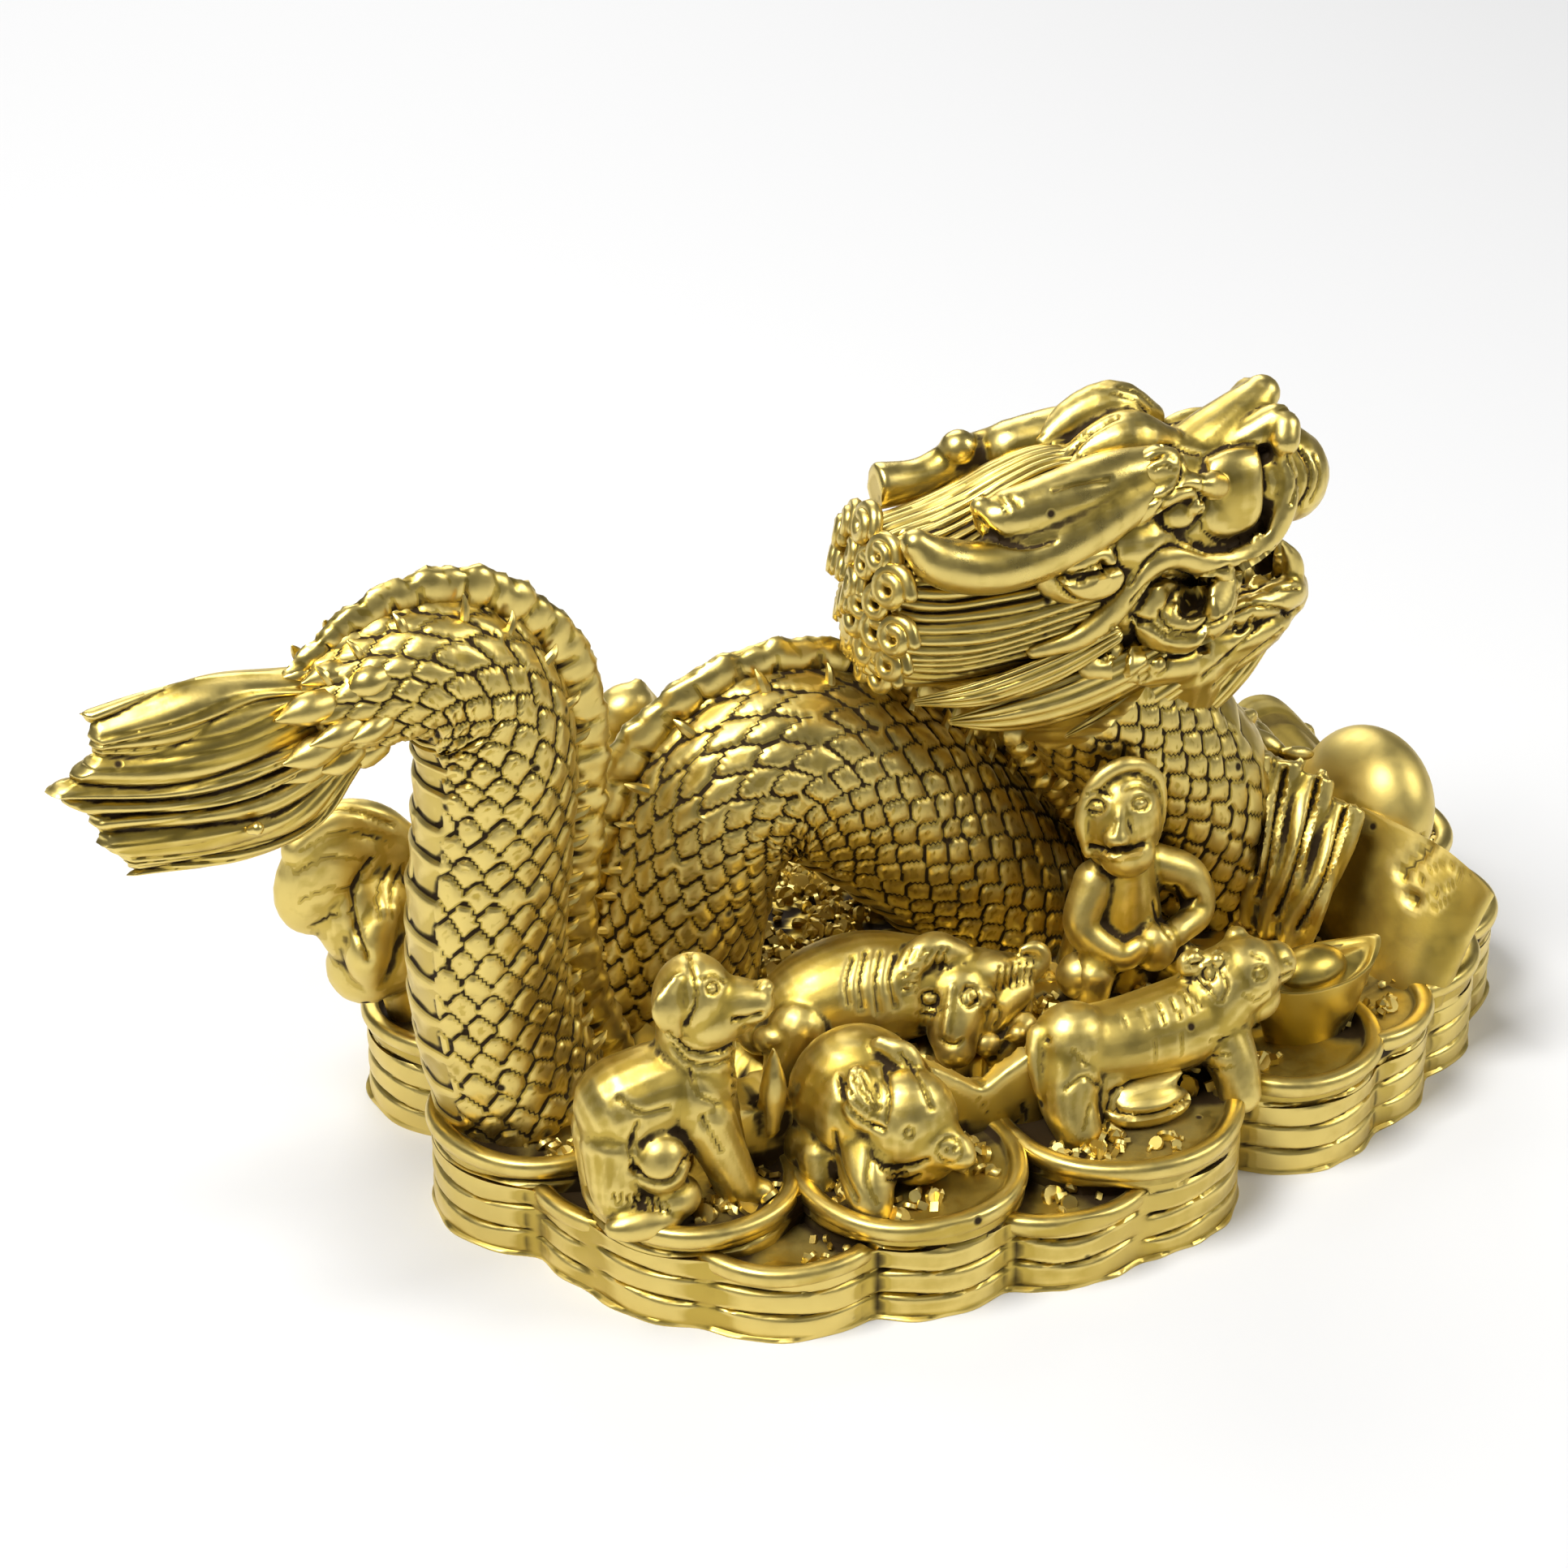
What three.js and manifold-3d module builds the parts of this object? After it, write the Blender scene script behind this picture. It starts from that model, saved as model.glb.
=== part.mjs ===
// A cast resin figurine painted gold: a dragon that dives in and out of a bed of coin stacks,
// with two boat-shaped ingots and the animals of the twelve-year cycle seated round it.
// The whole figurine is one casting, so it is one solid. Sizes are in millimetres. The origin is
// the middle of the flat underside, +X runs from tail to head, +Y to the back, +Z is up.
import * as THREE from 'three';
import { mergeVertices } from 'three/addons/utils/BufferGeometryUtils.js';
import Module from 'manifold-3d';

const wasm = await Module();
wasm.setup();

// Driving dimensions
const BED = { halfLength: 55, halfWidth: 37, arcSteps: 3 };
const MOUND = { halfLength: 44, halfWidth: 27, top: 14.5, shoulder: 13.2, brow: 0.78, sides: 15 };
const COIN = { thickness: 3, groove: 0.8, grooveWidth: 0.7, rim: 1.7, recess: 1.1, sides: 7 };
const TIER = { full: 4, low: 3 };
const SCALE = { ringStep: 4, around: 14, high: 0.6, low: -0.35, lean: 0.35, bellyFrom: 2.2 };
const TOOTH = { height: 2.6, foot: 0.3, lean: 0.6, squeeze: 0.5 };
const HEAD_MIDDLE = -4;
const INGOT_BIG = { length: 47, width: 19, depth: 13.5, lift: 8, dome: 8 };
const INGOT_SMALL = { length: 15.5, width: 10.5, depth: 8, lift: 2.6, dome: 4.2 };
// Parts of an ingot's beam that its ends lose, and of its dome's width that stand up
const INGOT_SHAPE = { pinch: 0.25, squat: 0.85 };
// Parts of an animal's girth at its tail end, waist and neck, and of its legs' width at hip and foot
const BUILD = { haunch: 0.6, waist: 0.95, hip: 1.8, hoof: 1.1, behind: 0.3 };

// Centre, radius and number of coins of every stack round the bed, from the tail stack on
const STACKS = [
  [-53, -13, 12, TIER.full], [-46, -24, 11, TIER.low], [-42, -31, 11.4, TIER.full],
  [-34, -36, 12, TIER.low], [-20, -36.5, 12.6, TIER.full], [-5, -37, 12.2, TIER.low],
  [5, -33, 14, TIER.full], [27.5, -27.5, 11, TIER.full], [43, -18, 10.5, TIER.full],
  [54.5, -6, 10.8, TIER.full], [55.5, 9, 10.5, TIER.full], [47, 23, 10.8, TIER.full],
  [34, 32, 10.8, TIER.low], [20, 35.5, 11.8, TIER.full], [4, 37.5, 11.4, TIER.low],
  [-11, 36.5, 12, TIER.full], [-28, 34, 12.4, TIER.full], [-43, 24.5, 11.4, TIER.low],
  [-54.5, 10, 11.4, TIER.full],
];

// Middle line and half thickness of the three stretches of the dragon's body
const BODY = {
  tail: {
    line: [[-76.7, -16, 64.3], [-68.1, -14, 66.5], [-62.8, -13, 66.4], [-58.3, -12, 62.8],
      [-56.4, -12, 57], [-56.7, -12, 47.7], [-57.9, -12, 36.2], [-57.4, -11, 24.5], [-54.3, -10, 12]],
    radius: [4.8, 6.8, 7.8, 8.2, 8.4, 8.4, 8.4, 8.6, 9.4],
  },
  hump: {
    line: [[-33.5, 3, 8], [-31.9, 3, 21], [-29.9, 3, 30], [-26.1, 3, 36.9], [-20.3, 3, 39.1],
      [-12.4, 3, 35.7], [-5.3, 3, 29.5], [1.3, 3, 23.1], [9, 3, 12]],
    radius: [10.2, 9.8, 10, 10.8, 11.3, 11.3, 11.3, 11.3, 11.5],
  },
  neck: {
    line: [[31.8, 2, 8], [29.1, 0, 19.6], [25.6, -2, 29.9], [19.9, -3, 37.8], [12.5, -4, 47]],
    radius: [11.5, 11, 10.6, 10.2, 9.5],
  },
};

const ACROSS = new THREE.Vector3(0, 1, 0);
const PLAIN = { out: 0, along: 0, turn: 1 };

function point(place) {
  return new THREE.Vector3(place[0], place[1], place[2]);
}

// A closed geometry as a solid: only places are kept, shared corners are merged, and
// triangles that the merging has closed up are dropped.
function solid(geometry) {
  const bare = geometry.clone();
  bare.deleteAttribute('normal');
  bare.deleteAttribute('uv');
  const merged = mergeVertices(bare, 1e-4);
  const index = merged.index.array;
  const corners = [];
  for (let i = 0; i < index.length; i += 3) {
    const [a, b, c] = [index[i], index[i + 1], index[i + 2]];
    if (a !== b && b !== c && c !== a) corners.push(a, b, c);
  }
  return new wasm.Manifold(new wasm.Mesh({
    numProp: 3,
    vertProperties: Float32Array.from(merged.attributes.position.array),
    triVerts: Uint32Array.from(corners),
  }));
}

function joined(solids) {
  let layer = solids;
  while (layer.length > 1) {
    const next = [];
    for (let i = 0; i < layer.length; i += 2) {
      next.push(i + 1 < layer.length ? layer[i].add(layer[i + 1]) : layer[i]);
    }
    layer = next;
  }
  return layer[0];
}

// A rounded lump with its own three half sizes, turned by degrees about X, Y and Z.
function lump(place, half, turn = [0, 0, 0], fineness = 1) {
  const geometry = new THREE.IcosahedronGeometry(1, fineness);
  geometry.scale(half[0], half[1], half[2]);
  const angles = turn.map(THREE.MathUtils.degToRad);
  geometry.applyMatrix4(new THREE.Matrix4().makeRotationFromEuler(new THREE.Euler(...angles, 'XYZ')));
  geometry.translate(...place);
  return solid(geometry);
}

// A position between the entries of a list, with t from 0 to 1.
function between(list, t) {
  const at = t * (list.length - 1);
  const low = Math.min(Math.floor(at), list.length - 2);
  return THREE.MathUtils.lerp(list[low], list[low + 1], at - low);
}

// A round bar that follows a middle line. It is a lathe turned round Y and then bent: the height
// of a point on the lathe says how far it is along the line. `across` stays level with one
// direction, `flat` thins the bar along it, and `relief` moves each point out, along or round.
function bar(line, radius, { sides = 6, rings = 5, flat = 1, across = ACROSS, relief = null } = {}) {
  const curve = new THREE.CatmullRomCurve3(line.map(point), false, 'centripetal');
  const profile = [new THREE.Vector2(0, 0)];
  for (let i = 0; i <= rings; i++) {
    if (between(radius, i / rings) > 0.05) profile.push(new THREE.Vector2(1, i / rings));
  }
  profile.push(new THREE.Vector2(0, 1));
  const geometry = new THREE.LatheGeometry(profile, sides);
  const corner = geometry.attributes.position;
  const lifted = [];
  for (let i = 0; i < corner.count; i++) {
    const onAxis = Math.hypot(corner.getX(i), corner.getZ(i)) < 0.5;
    const ring = Math.round(corner.getY(i) * rings);
    const start = Math.atan2(corner.getX(i), corner.getZ(i));
    const column = Math.round((start / (2 * Math.PI)) * sides);
    const change = relief && !onAxis ? relief(ring, column, start) : PLAIN;
    const angle = start * change.turn;
    const t = THREE.MathUtils.clamp(corner.getY(i) + change.along / rings, 0, 1);
    const middle = curve.getPoint(t);
    const ahead = curve.getTangent(t);
    const side = across.clone().addScaledVector(ahead, -across.dot(ahead)).normalize();
    const up = new THREE.Vector3().crossVectors(ahead, side);
    const reach = onAxis ? 0 : between(radius, t) + change.out;
    middle.addScaledVector(up, reach * Math.cos(angle));
    middle.addScaledVector(side, -reach * Math.sin(angle) * flat);
    corner.setXYZ(i, middle.x, middle.y, middle.z);
    if (relief) lifted.push(change.out);
  }
  if (relief) foldLow(geometry.index, lifted);
  return solid(geometry);
}

// Each four-sided patch of a lathe is two triangles. Where the fold between them joins its two
// raised corners, it is laid across the other two, so that every raised point stands alone.
function foldLow(index, lifted) {
  for (let i = 0; i + 5 < index.count; i += 6) {
    const [a, b, d, c] = [0, 1, 2, 3].map((k) => index.getX(i + k));
    if (lifted[b] + lifted[d] <= lifted[a] + lifted[c]) continue;
    [a, b, c, a, c, d].forEach((corner, k) => index.setX(i + k, corner));
  }
}

// A four-sided spike that stands at a place and points along a direction.
function spike(place, direction, radius, height, sides = 4) {
  const geometry = new THREE.ConeGeometry(radius, height, sides);
  geometry.translate(0, height / 2, 0);
  const upright = new THREE.Vector3(0, 1, 0);
  const turn = new THREE.Quaternion().setFromUnitVectors(upright, direction.clone().normalize());
  geometry.applyQuaternion(turn);
  geometry.translate(place.x, place.y, place.z);
  return solid(geometry);
}

function block(place, size, turn = [0, 0, 0]) {
  const geometry = new THREE.BoxGeometry(...size);
  const angles = turn.map(THREE.MathUtils.degToRad);
  geometry.applyMatrix4(new THREE.Matrix4().makeRotationFromEuler(new THREE.Euler(...angles, 'XYZ')));
  geometry.translate(...place);
  return solid(geometry);
}

// How far the bed reaches from its middle in one direction, and which stack reaches there.
// Only stacks of at least `coins` coins count.
function reachOfBed(angle, coins) {
  const [dx, dy] = [Math.cos(angle), Math.sin(angle)];
  let far = 1 / Math.hypot(dx / BED.halfLength, dy / BED.halfWidth);
  let owner = -1;
  STACKS.forEach(([x, y, radius, height], i) => {
    const along = x * dx + y * dy;
    const room = radius ** 2 - x ** 2 - y ** 2 + along ** 2;
    if (height < coins || room <= 0 || along + Math.sqrt(room) <= far) return;
    far = along + Math.sqrt(room);
    owner = i;
  });
  return { far, owner };
}

// Directions for the bed's outline: the corners between stacks, and even steps between corners.
function outlineAngles() {
  const fine = 1440;
  const corners = [];
  for (let i = 0; i < fine; i++) {
    const [a, b] = [i, i + 1].map((k) => (k / fine) * 2 * Math.PI - Math.PI);
    if (reachOfBed(a, 1).owner !== reachOfBed(b, 1).owner) corners.push((a + b) / 2);
  }
  const angles = [];
  corners.forEach((corner, i) => {
    const next = i + 1 < corners.length ? corners[i + 1] : corners[0] + 2 * Math.PI;
    for (let k = 0; k < BED.arcSteps; k++) angles.push(corner + ((next - corner) * k) / BED.arcSteps);
  });
  return angles;
}

// The bed of coin stacks. Its scalloped side has a groove between each two coins, and each full
// stack has a raised rim round its sunk top.
function bed() {
  const { thickness, groove, grooveWidth, rim, recess, sides } = COIN;
  const angles = outlineAngles();
  const levels = [{ z: 0, coins: 1, inset: 0 }];
  for (let coins = 1; coins < TIER.full; coins++) {
    const joint = coins * thickness;
    levels.push({ z: joint - grooveWidth, coins, inset: 0 });
    levels.push({ z: joint, coins: coins + 1, inset: groove });
  }
  levels.push({ z: TIER.full * thickness, coins: TIER.full, inset: 0 });
  const profile = [new THREE.Vector2(0, 0)];
  levels.forEach((level, i) => profile.push(new THREE.Vector2(1, i)));
  profile.push(new THREE.Vector2(0, levels.length - 1));
  const geometry = new THREE.LatheGeometry(profile, angles.length);
  const corner = geometry.attributes.position;
  for (let i = 0; i < corner.count; i++) {
    const { z, coins, inset } = levels[Math.round(corner.getY(i))];
    const turn = Math.atan2(corner.getX(i), corner.getZ(i)) / (2 * Math.PI);
    const column = Math.round((turn + 1) * angles.length) % angles.length;
    const onAxis = Math.hypot(corner.getX(i), corner.getZ(i)) < 0.5;
    const reach = onAxis ? 0 : reachOfBed(angles[column], coins).far - inset;
    corner.setXYZ(i, reach * Math.cos(angles[column]), reach * Math.sin(angles[column]), z);
  }
  let whole = solid(geometry);
  for (const [x, y, radius, coins] of STACKS) {
    if (coins < TIER.full) continue;
    const hollow = new THREE.CylinderGeometry(radius - rim, radius - rim, 2 * recess, sides);
    hollow.rotateX(Math.PI / 2).translate(x, y, TIER.full * thickness);
    whole = whole.subtract(solid(hollow));
  }
  return whole;
}

// The low mound in the middle of the bed, on which the inner animals sit
function mound() {
  const { halfLength, halfWidth, top, shoulder, brow, sides } = MOUND;
  const foot = COIN.thickness * TIER.full - 2 * COIN.recess;
  const profile = [[0, foot], [1, foot], [0.96, shoulder], [brow, top], [0, top]];
  const geometry = new THREE.LatheGeometry(profile.map((p) => new THREE.Vector2(...p)), sides);
  geometry.rotateX(Math.PI / 2).scale(halfLength, halfWidth, 1);
  return solid(geometry);
}

// A boat-shaped ingot: a hull with both ends drawn up and a dome between them
function ingot(place, size, degrees) {
  const { length, width, depth, lift, dome } = size;
  const hull = new THREE.SphereGeometry(1, 10, 6);
  const corner = hull.attributes.position;
  for (let i = 0; i < corner.count; i++) {
    const along = corner.getY(i);
    const beam = 1 - INGOT_SHAPE.pinch * along * along;
    const rise = lift * along * along;
    const down = Math.min(corner.getZ(i), 0);
    corner.setXYZ(i, (length / 2) * along, (-width / 2) * corner.getX(i) * beam, depth * down + rise);
  }
  const angle = THREE.MathUtils.degToRad(degrees);
  hull.rotateZ(angle).translate(...place);
  const [x, y, z] = place;
  return [solid(hull), lump([x, y, z], [dome, dome, dome * INGOT_SHAPE.squat])];
}

// One stretch of the dragon's body, with scales over its back and sides, broad plates under its
// belly and a row of teeth down its spine.
function bodyStretch({ line, radius }) {
  const length = new THREE.CatmullRomCurve3(line.map(point), false, 'centripetal').getLength();
  const rings = Math.round(length / SCALE.ringStep);
  const relief = (ring, column, angle) => {
    const odd = (ring + column) % 2 !== 0;
    if (column === 0) return { out: odd ? TOOTH.height : TOOTH.foot, along: odd ? -TOOTH.lean : 0, turn: 1 };
    const onBelly = Math.abs(angle) > SCALE.bellyFrom;
    if (onBelly) return { out: ring % 2 ? SCALE.high : SCALE.low, along: 0, turn: 1 };
    const turn = Math.abs(column) === 1 ? TOOTH.squeeze : 1;
    return { out: odd ? SCALE.high : SCALE.low, along: odd ? -SCALE.lean : 0, turn };
  };
  return bar(line, radius, { sides: SCALE.around, rings, relief });
}

// The tail fin: a flattened, grooved tuft that ends in a row of ragged points
function tailFin() {
  const grooves = (ring, column) => ({ out: column % 2 ? 0.5 : -0.9, along: 0, turn: 1 });
  const parts = [
    bar([[-75.5, -15.5, 64.4], [-82, -17.4, 62.4], [-89, -18, 61.6], [-94, -18.2, 61.4]], [5, 8.6, 9.4, 7.6],
      { sides: 12, rings: 4, flat: 0.42, relief: grooves }),
  ];
  const tips = [
    [-99.6, -16, 69.4], [-98.6, -19.5, 66], [-104, -19, 63.3], [-99.6, -17.5, 60], [-99.4, -20, 56.8],
    [-96.7, -20, 52.8],
  ];
  tips.forEach((tip, i) => {
    const foot = new THREE.Vector3(-84, -17.4, 67.4 - 2.5 * i);
    const direction = point(tip).sub(foot);
    parts.push(spike(foot, direction, 3.2, direction.length()));
  });
  return parts;
}

function mirrored(place) {
  return [place[0], 2 * HEAD_MIDDLE - place[1], place[2]];
}

// Skull, snout, jaws and the features that come in pairs on the two sides of the head
function head() {
  const m = HEAD_MIDDLE;
  const parts = [
    lump([13, m, 68], [11, 10, 6.5], [0, -6, 0]),
    bar([[12, m, 65.5], [22, m, 67], [31, m, 68.2], [38.6, m, 68.2], [41, m, 67.6]], [9, 7.6, 6.6, 5.8, 3.6],
      { sides: 8, rings: 5, flat: 1.08 }),
    bar([[6, m, 53], [19, m, 51.4], [29, m, 52.4], [38, m, 54.8]], [7.6, 8, 7, 4],
      { sides: 8, rings: 4, flat: 1.06 }),
    bar([[10.5, m + 4, 75], [16, m + 5, 76], [21, m + 5, 75]], [1.8, 3.4, 1.8],
      { sides: 6, rings: 3, flat: 1.5 }),
  ];
  const pairs = [
    (at) => bar([at([26.4, -5, 72.4]), at([30.6, -6.4, 75.4]), at([32.6, -8.6, 76.2]), at([32, -9.8, 73.4])],
      [1.4, 2.4, 2.7, 2], { sides: 5, rings: 4 }),
    (at) => lump(at([19.2, -11, 70]), [4, 3, 3.2], [0, 0, 0], 0),
    (at) => lump(at([17, -10.4, 74.2]), [4.2, 3, 2.6], [0, 24, 0], 0),
    (at) => bar([at([32.6, -9.6, 69]), at([29.6, -10.6, 63]), at([22, -12, 63]), at([16, -13, 64.4]),
      at([11.4, -13, 59.6]), at([7.6, -12.4, 56.4])], [1.9, 2.1, 2, 2, 2, 1.6], { rings: 5, sides: 4 }),
    (at) => lump(at([8.6, -13.2, 65]), [5.2, 2, 3.8], [0, -8, 0], 0),
    (at) => bar([at([15, -10.4, 71.6]), at([7, -12, 69.6]), at([-2, -12.2, 67.6]), at([-8.6, -12, 69]),
      at([-11.4, -12, 71.4])], [3.2, 3.3, 3.1, 2.9, 1.6], { rings: 4, sides: 5 }),
    (at) => bar([at([14, -9.6, 73]), at([6, -10, 72.4]), at([-2.4, -9.8, 71.8])], [3.2, 2.8, 1.9],
      { rings: 2, sides: 4 }),
  ];
  for (const make of pairs) parts.push(make((place) => place), make(mirrored));
  parts.push(bar([[20.6, -9, 56.4], [20.9, -13.2, 58.4]], [4.2, 3.6], { rings: 1, sides: 6 }));
  return parts;
}

// The mane: one thick sheaf of strands behind the cheeks that ends in points, and the beard's locks
function mane() {
  const m = HEAD_MIDDLE;
  const strands = 14;
  const steps = 4;
  const sheaf = [[18, m, 61.4], [9, m, 61], [0, m, 60.4], [-8, m, 60.4], [-15.8, m, 60.8]];
  const relief = (ring, column) => {
    const proud = column % 2 !== 0;
    return { out: proud ? 0.9 : -0.7, along: ring === steps && !proud ? -0.8 : 0, turn: 1 };
  };
  const parts = [
    bar(sheaf, [6, 9.2, 9.7, 9.2, 5.8], { sides: strands, rings: steps, relief }),
  ];
  const beardLocks = 2;
  for (let i = 0; i < beardLocks; i++) {
    const t = i / (beardLocks - 1);
    const line = [[18 + 6 * t, -6, 51], [9 + 8 * t, -9, 47.4], [-3.5 + 18 * t, -7.6, 46.4 - 3.4 * t]];
    for (const at of [(place) => place, mirrored]) {
      parts.push(bar(line.map(at), [3.4, 3, 0.8], { rings: 2, sides: 4 }));
    }
  }
  return parts;
}

// The pleated fan at the front of the chest and the claw that lies on the big ingot
function chest() {
  const pleats = 4;
  const parts = [];
  for (let i = 0; i < pleats; i++) {
    const t = i / (pleats - 1);
    const foot = [31.5 + 5 * t, -8 - 3 * t, 15.5 - t];
    const top = [33 + 11.4 * t, -6.8 - 6 * t, 34.6 - 9.6 * t];
    parts.push(bar([foot, top], [2.2, 2.6], { rings: 1, sides: 4, flat: 1.4 }));
  }
  parts.push(bar([[29, 3, 26], [34.6, 6, 34], [42.6, 4, 29.5]], [4.6, 4.4, 2.4], { rings: 3, sides: 5 }));
  for (const y of [0.6, 4.4, 8.2]) {
    parts.push(spike(point([38.4, 5, 31.4]), point([7, y - 5, -2]), 1.8, 8));
  }
  return parts;
}

// A four-footed animal, from the places of its rump, chest, head and nose and of its feet
function fourFooted(animal) {
  const { rump, chest: front, girth, head: skull, skullHalf, nose, snout, feet, leg, ears, ear } = animal;
  const middle = rump.map((value, axis) => (value + front[axis]) / 2);
  const behind = rump.map((value, axis) => value - (front[axis] - value) * BUILD.behind);
  const parts = [
    bar([behind, rump, middle, front], [girth * BUILD.haunch, girth, girth * BUILD.waist, girth],
      { rings: 3, sides: 5 }),
    bar([front, skull, nose], [girth * BUILD.waist, skullHalf, snout], { rings: 3, sides: 6 }),
  ];
  feet.forEach((foot, i) => {
    const hip = i < 2 ? rump : front;
    const top = [(foot[0] + hip[0]) / 2, (foot[1] + hip[1]) / 2, hip[2]];
    parts.push(bar([top, foot], [leg * BUILD.hip, leg * BUILD.hoof], { rings: 1, sides: 3 }));
  });
  for (const place of ears) {
    const direction = point(place).sub(point(skull)).normalize();
    const foot = point(skull).addScaledVector(direction, skullHalf / 2);
    parts.push(spike(foot, direction, ear, point(place).distanceTo(foot), 3));
  }
  return parts;
}

const dog = {
  rump: [-49.6, -31.5, 20], chest: [-40.5, -32, 22], girth: 5, head: [-40.6, -31, 32.4], skullHalf: 5.2,
  nose: [-33.8, -32, 30.4], snout: 2.5, leg: 1.8, ear: 2, ears: [[-45.5, -33.5, 36], [-43, -28, 38.5]],
  feet: [[-50.5, -34.6, 11], [-51, -28.5, 11], [-37, -35, 11], [-36.4, -30, 11]],
};
const tiger = {
  rump: [0.5, -31.5, 19.4], chest: [15, -30.5, 20.4], girth: 4.4, head: [21.2, -28.4, 25], skullHalf: 3.8,
  nose: [25.6, -27.4, 22], snout: 2.2, leg: 1.9, ear: 1.4, ears: [[18.6, -28.6, 30], [23.4, -25.6, 29.4]],
  feet: [[0.6, -34, 11], [1.4, -29, 11], [17.6, -33, 11], [17, -28, 11]],
};
const horse = {
  rump: [-22, 31, 21], chest: [-29, 29, 22], girth: 4.6, head: [-30.6, 26, 33.6], skullHalf: 3.6,
  nose: [-33.4, 24.6, 28], snout: 2, leg: 1.6, ear: 1.1, ears: [[-29.6, 24, 39], [-28.6, 28, 39]],
  feet: [[-19.4, 33.6, 11], [-20, 28.6, 11], [-30.6, 32, 11], [-31, 26, 11]],
};
const goat = {
  rump: [-6, 33.5, 20], chest: [3.6, 33.5, 20.4], girth: 4.4, head: [8.6, 33.4, 27.4], skullHalf: 3.2,
  nose: [12.6, 33.6, 24.6], snout: 1.7, leg: 1.6, ear: 1.1, ears: [[5.8, 31, 31.4], [5.8, 36, 31.4]],
  feet: [[-7, 36, 11], [-7, 31, 11], [4.6, 36, 8], [4.6, 31, 8]],
};

function pig() {
  return [
    bar([[-28, -26, 17], [-26, -28.5, 18.5], [-23.2, -32.4, 18.8], [-20.6, -36.6, 17.2], [-17.2, -41.4, 14.8]],
      [3, 6.2, 7.2, 5, 2.3], { rings: 5, sides: 7 }),
    spike(point([-22.6, -36.4, 20.4]), point([-2.6, -2, 2.2]), 1.8, 4, 3),
    spike(point([-18.6, -34.4, 20.4]), point([1.8, 0.6, 3]), 1.8, 4, 3),
    bar([[-24.6, -37, 15], [-24.8, -41.4, 10.6]], [3.2, 2.2], { rings: 1, sides: 5 }),
    bar([[-29.6, -32, 15], [-30, -34.4, 10.6]], [3.4, 2.2], { rings: 1, sides: 5 }),
    bar([[-17, -34, 14], [-15.6, -36.6, 10.6]], [3, 2.2], { rings: 1, sides: 5 }),
  ];
}

function ox() {
  return [
    bar([[-29, -16, 17], [-24.6, -16, 18.6], [-17.6, -16, 18.8], [-9, -17.4, 18.6]], [2.4, 5.6, 6.2, 4.8],
      { rings: 5, sides: 8 }),
    bar([[-8.6, -18, 20.6], [-4.6, -21.6, 15]], [4.6, 2.6], { rings: 1, sides: 7 }),
    bar([[-9, -18.4, 21], [-12.6, -19.6, 21.4], [-14.2, -20, 25]], [1.9, 1.5, 0.3], { rings: 3, sides: 4 }),
    bar([[-5.6, -18.6, 20.4], [-0.6, -18, 19], [2.8, -17.4, 22]], [1.9, 1.5, 0.3], { rings: 3, sides: 4 }),
    bar([[-26, -19.6, 19], [-28.4, -21, 14.6]], [3.2, 2.2], { rings: 1, sides: 5 }),
    bar([[-18, -21, 16], [-23, -22.6, 14.6]], [2.8, 1.9], { rings: 1, sides: 5 }),
  ];
}

function monkey() {
  return [
    bar([[13.4, -12, 12.5], [13.6, -13, 20], [14, -13.6, 29]], [6, 5.4, 3.4], { rings: 2, sides: 6 }),
    lump([12.9, -14.6, 34], [5, 4.8, 5.6]),
    bar([[18, -13, 26.4], [23, -13.6, 21.6], [18.2, -17.6, 20.2]], [2.8, 2.4, 1.9], { rings: 3, sides: 4 }),
    bar([[9.6, -14, 26], [7.4, -15.4, 21.4], [12.6, -18, 20]], [2.6, 2.2, 1.8], { rings: 3, sides: 4 }),
    lump([15.6, -18.4, 19.8], [2.8, 2.4, 2.6], [0, 0, 0], 0),
    bar([[11, -14, 15], [9.6, -18.4, 19], [8.6, -18.6, 12.6]], [3, 2.6, 1.9], { rings: 2, sides: 4 }),
    bar([[17, -14, 14], [19.6, -17.6, 17], [20, -18.4, 12.6]], [3, 2.4, 1.9], { rings: 2, sides: 4 }),
  ];
}

function rooster() {
  const parts = [
    bar([[-66, 8.5, 19], [-63, 9.4, 20.5], [-59.4, 10.4, 24.6], [-57.4, 11, 32]], [4.2, 5.4, 4.6, 2.8],
      { rings: 3, sides: 6 }),
    spike(point([-56.6, 11.2, 31.6]), point([1, 0.1, -0.2]), 1.3, 4.4),
    bar([[-62.6, 9.6, 18], [-61.6, 9.8, 10.5]], [2.4, 1.8], { rings: 1, sides: 4 }),
  ];
  const feathers = 3;
  for (let i = 0; i < feathers; i++) {
    const t = i / (feathers - 1);
    const tip = [-77 + 4 * t, 8 + t, 35 - 17 * t];
    parts.push(bar([[-63, 9, 22], [-71.4 + t, 8, 38 - 14 * t], tip], [3, 3.9, 0.9], { rings: 3, sides: 4 }));
  }
  return parts;
}

function rabbit() {
  return [
    lump([29, 29.5, 15.6], [5.8, 4.8, 5.8]),
    lump([35.6, 30, 18.2], [3.9, 3.5, 3.7], [0, 0, 0], 0),
    spike(point([34.6, 28.8, 20]), point([-5.4, -0.6, 7]), 1.7, 9),
    spike(point([34.6, 31.2, 20]), point([-5.4, 0.6, 7]), 1.7, 9),
  ];
}

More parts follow.
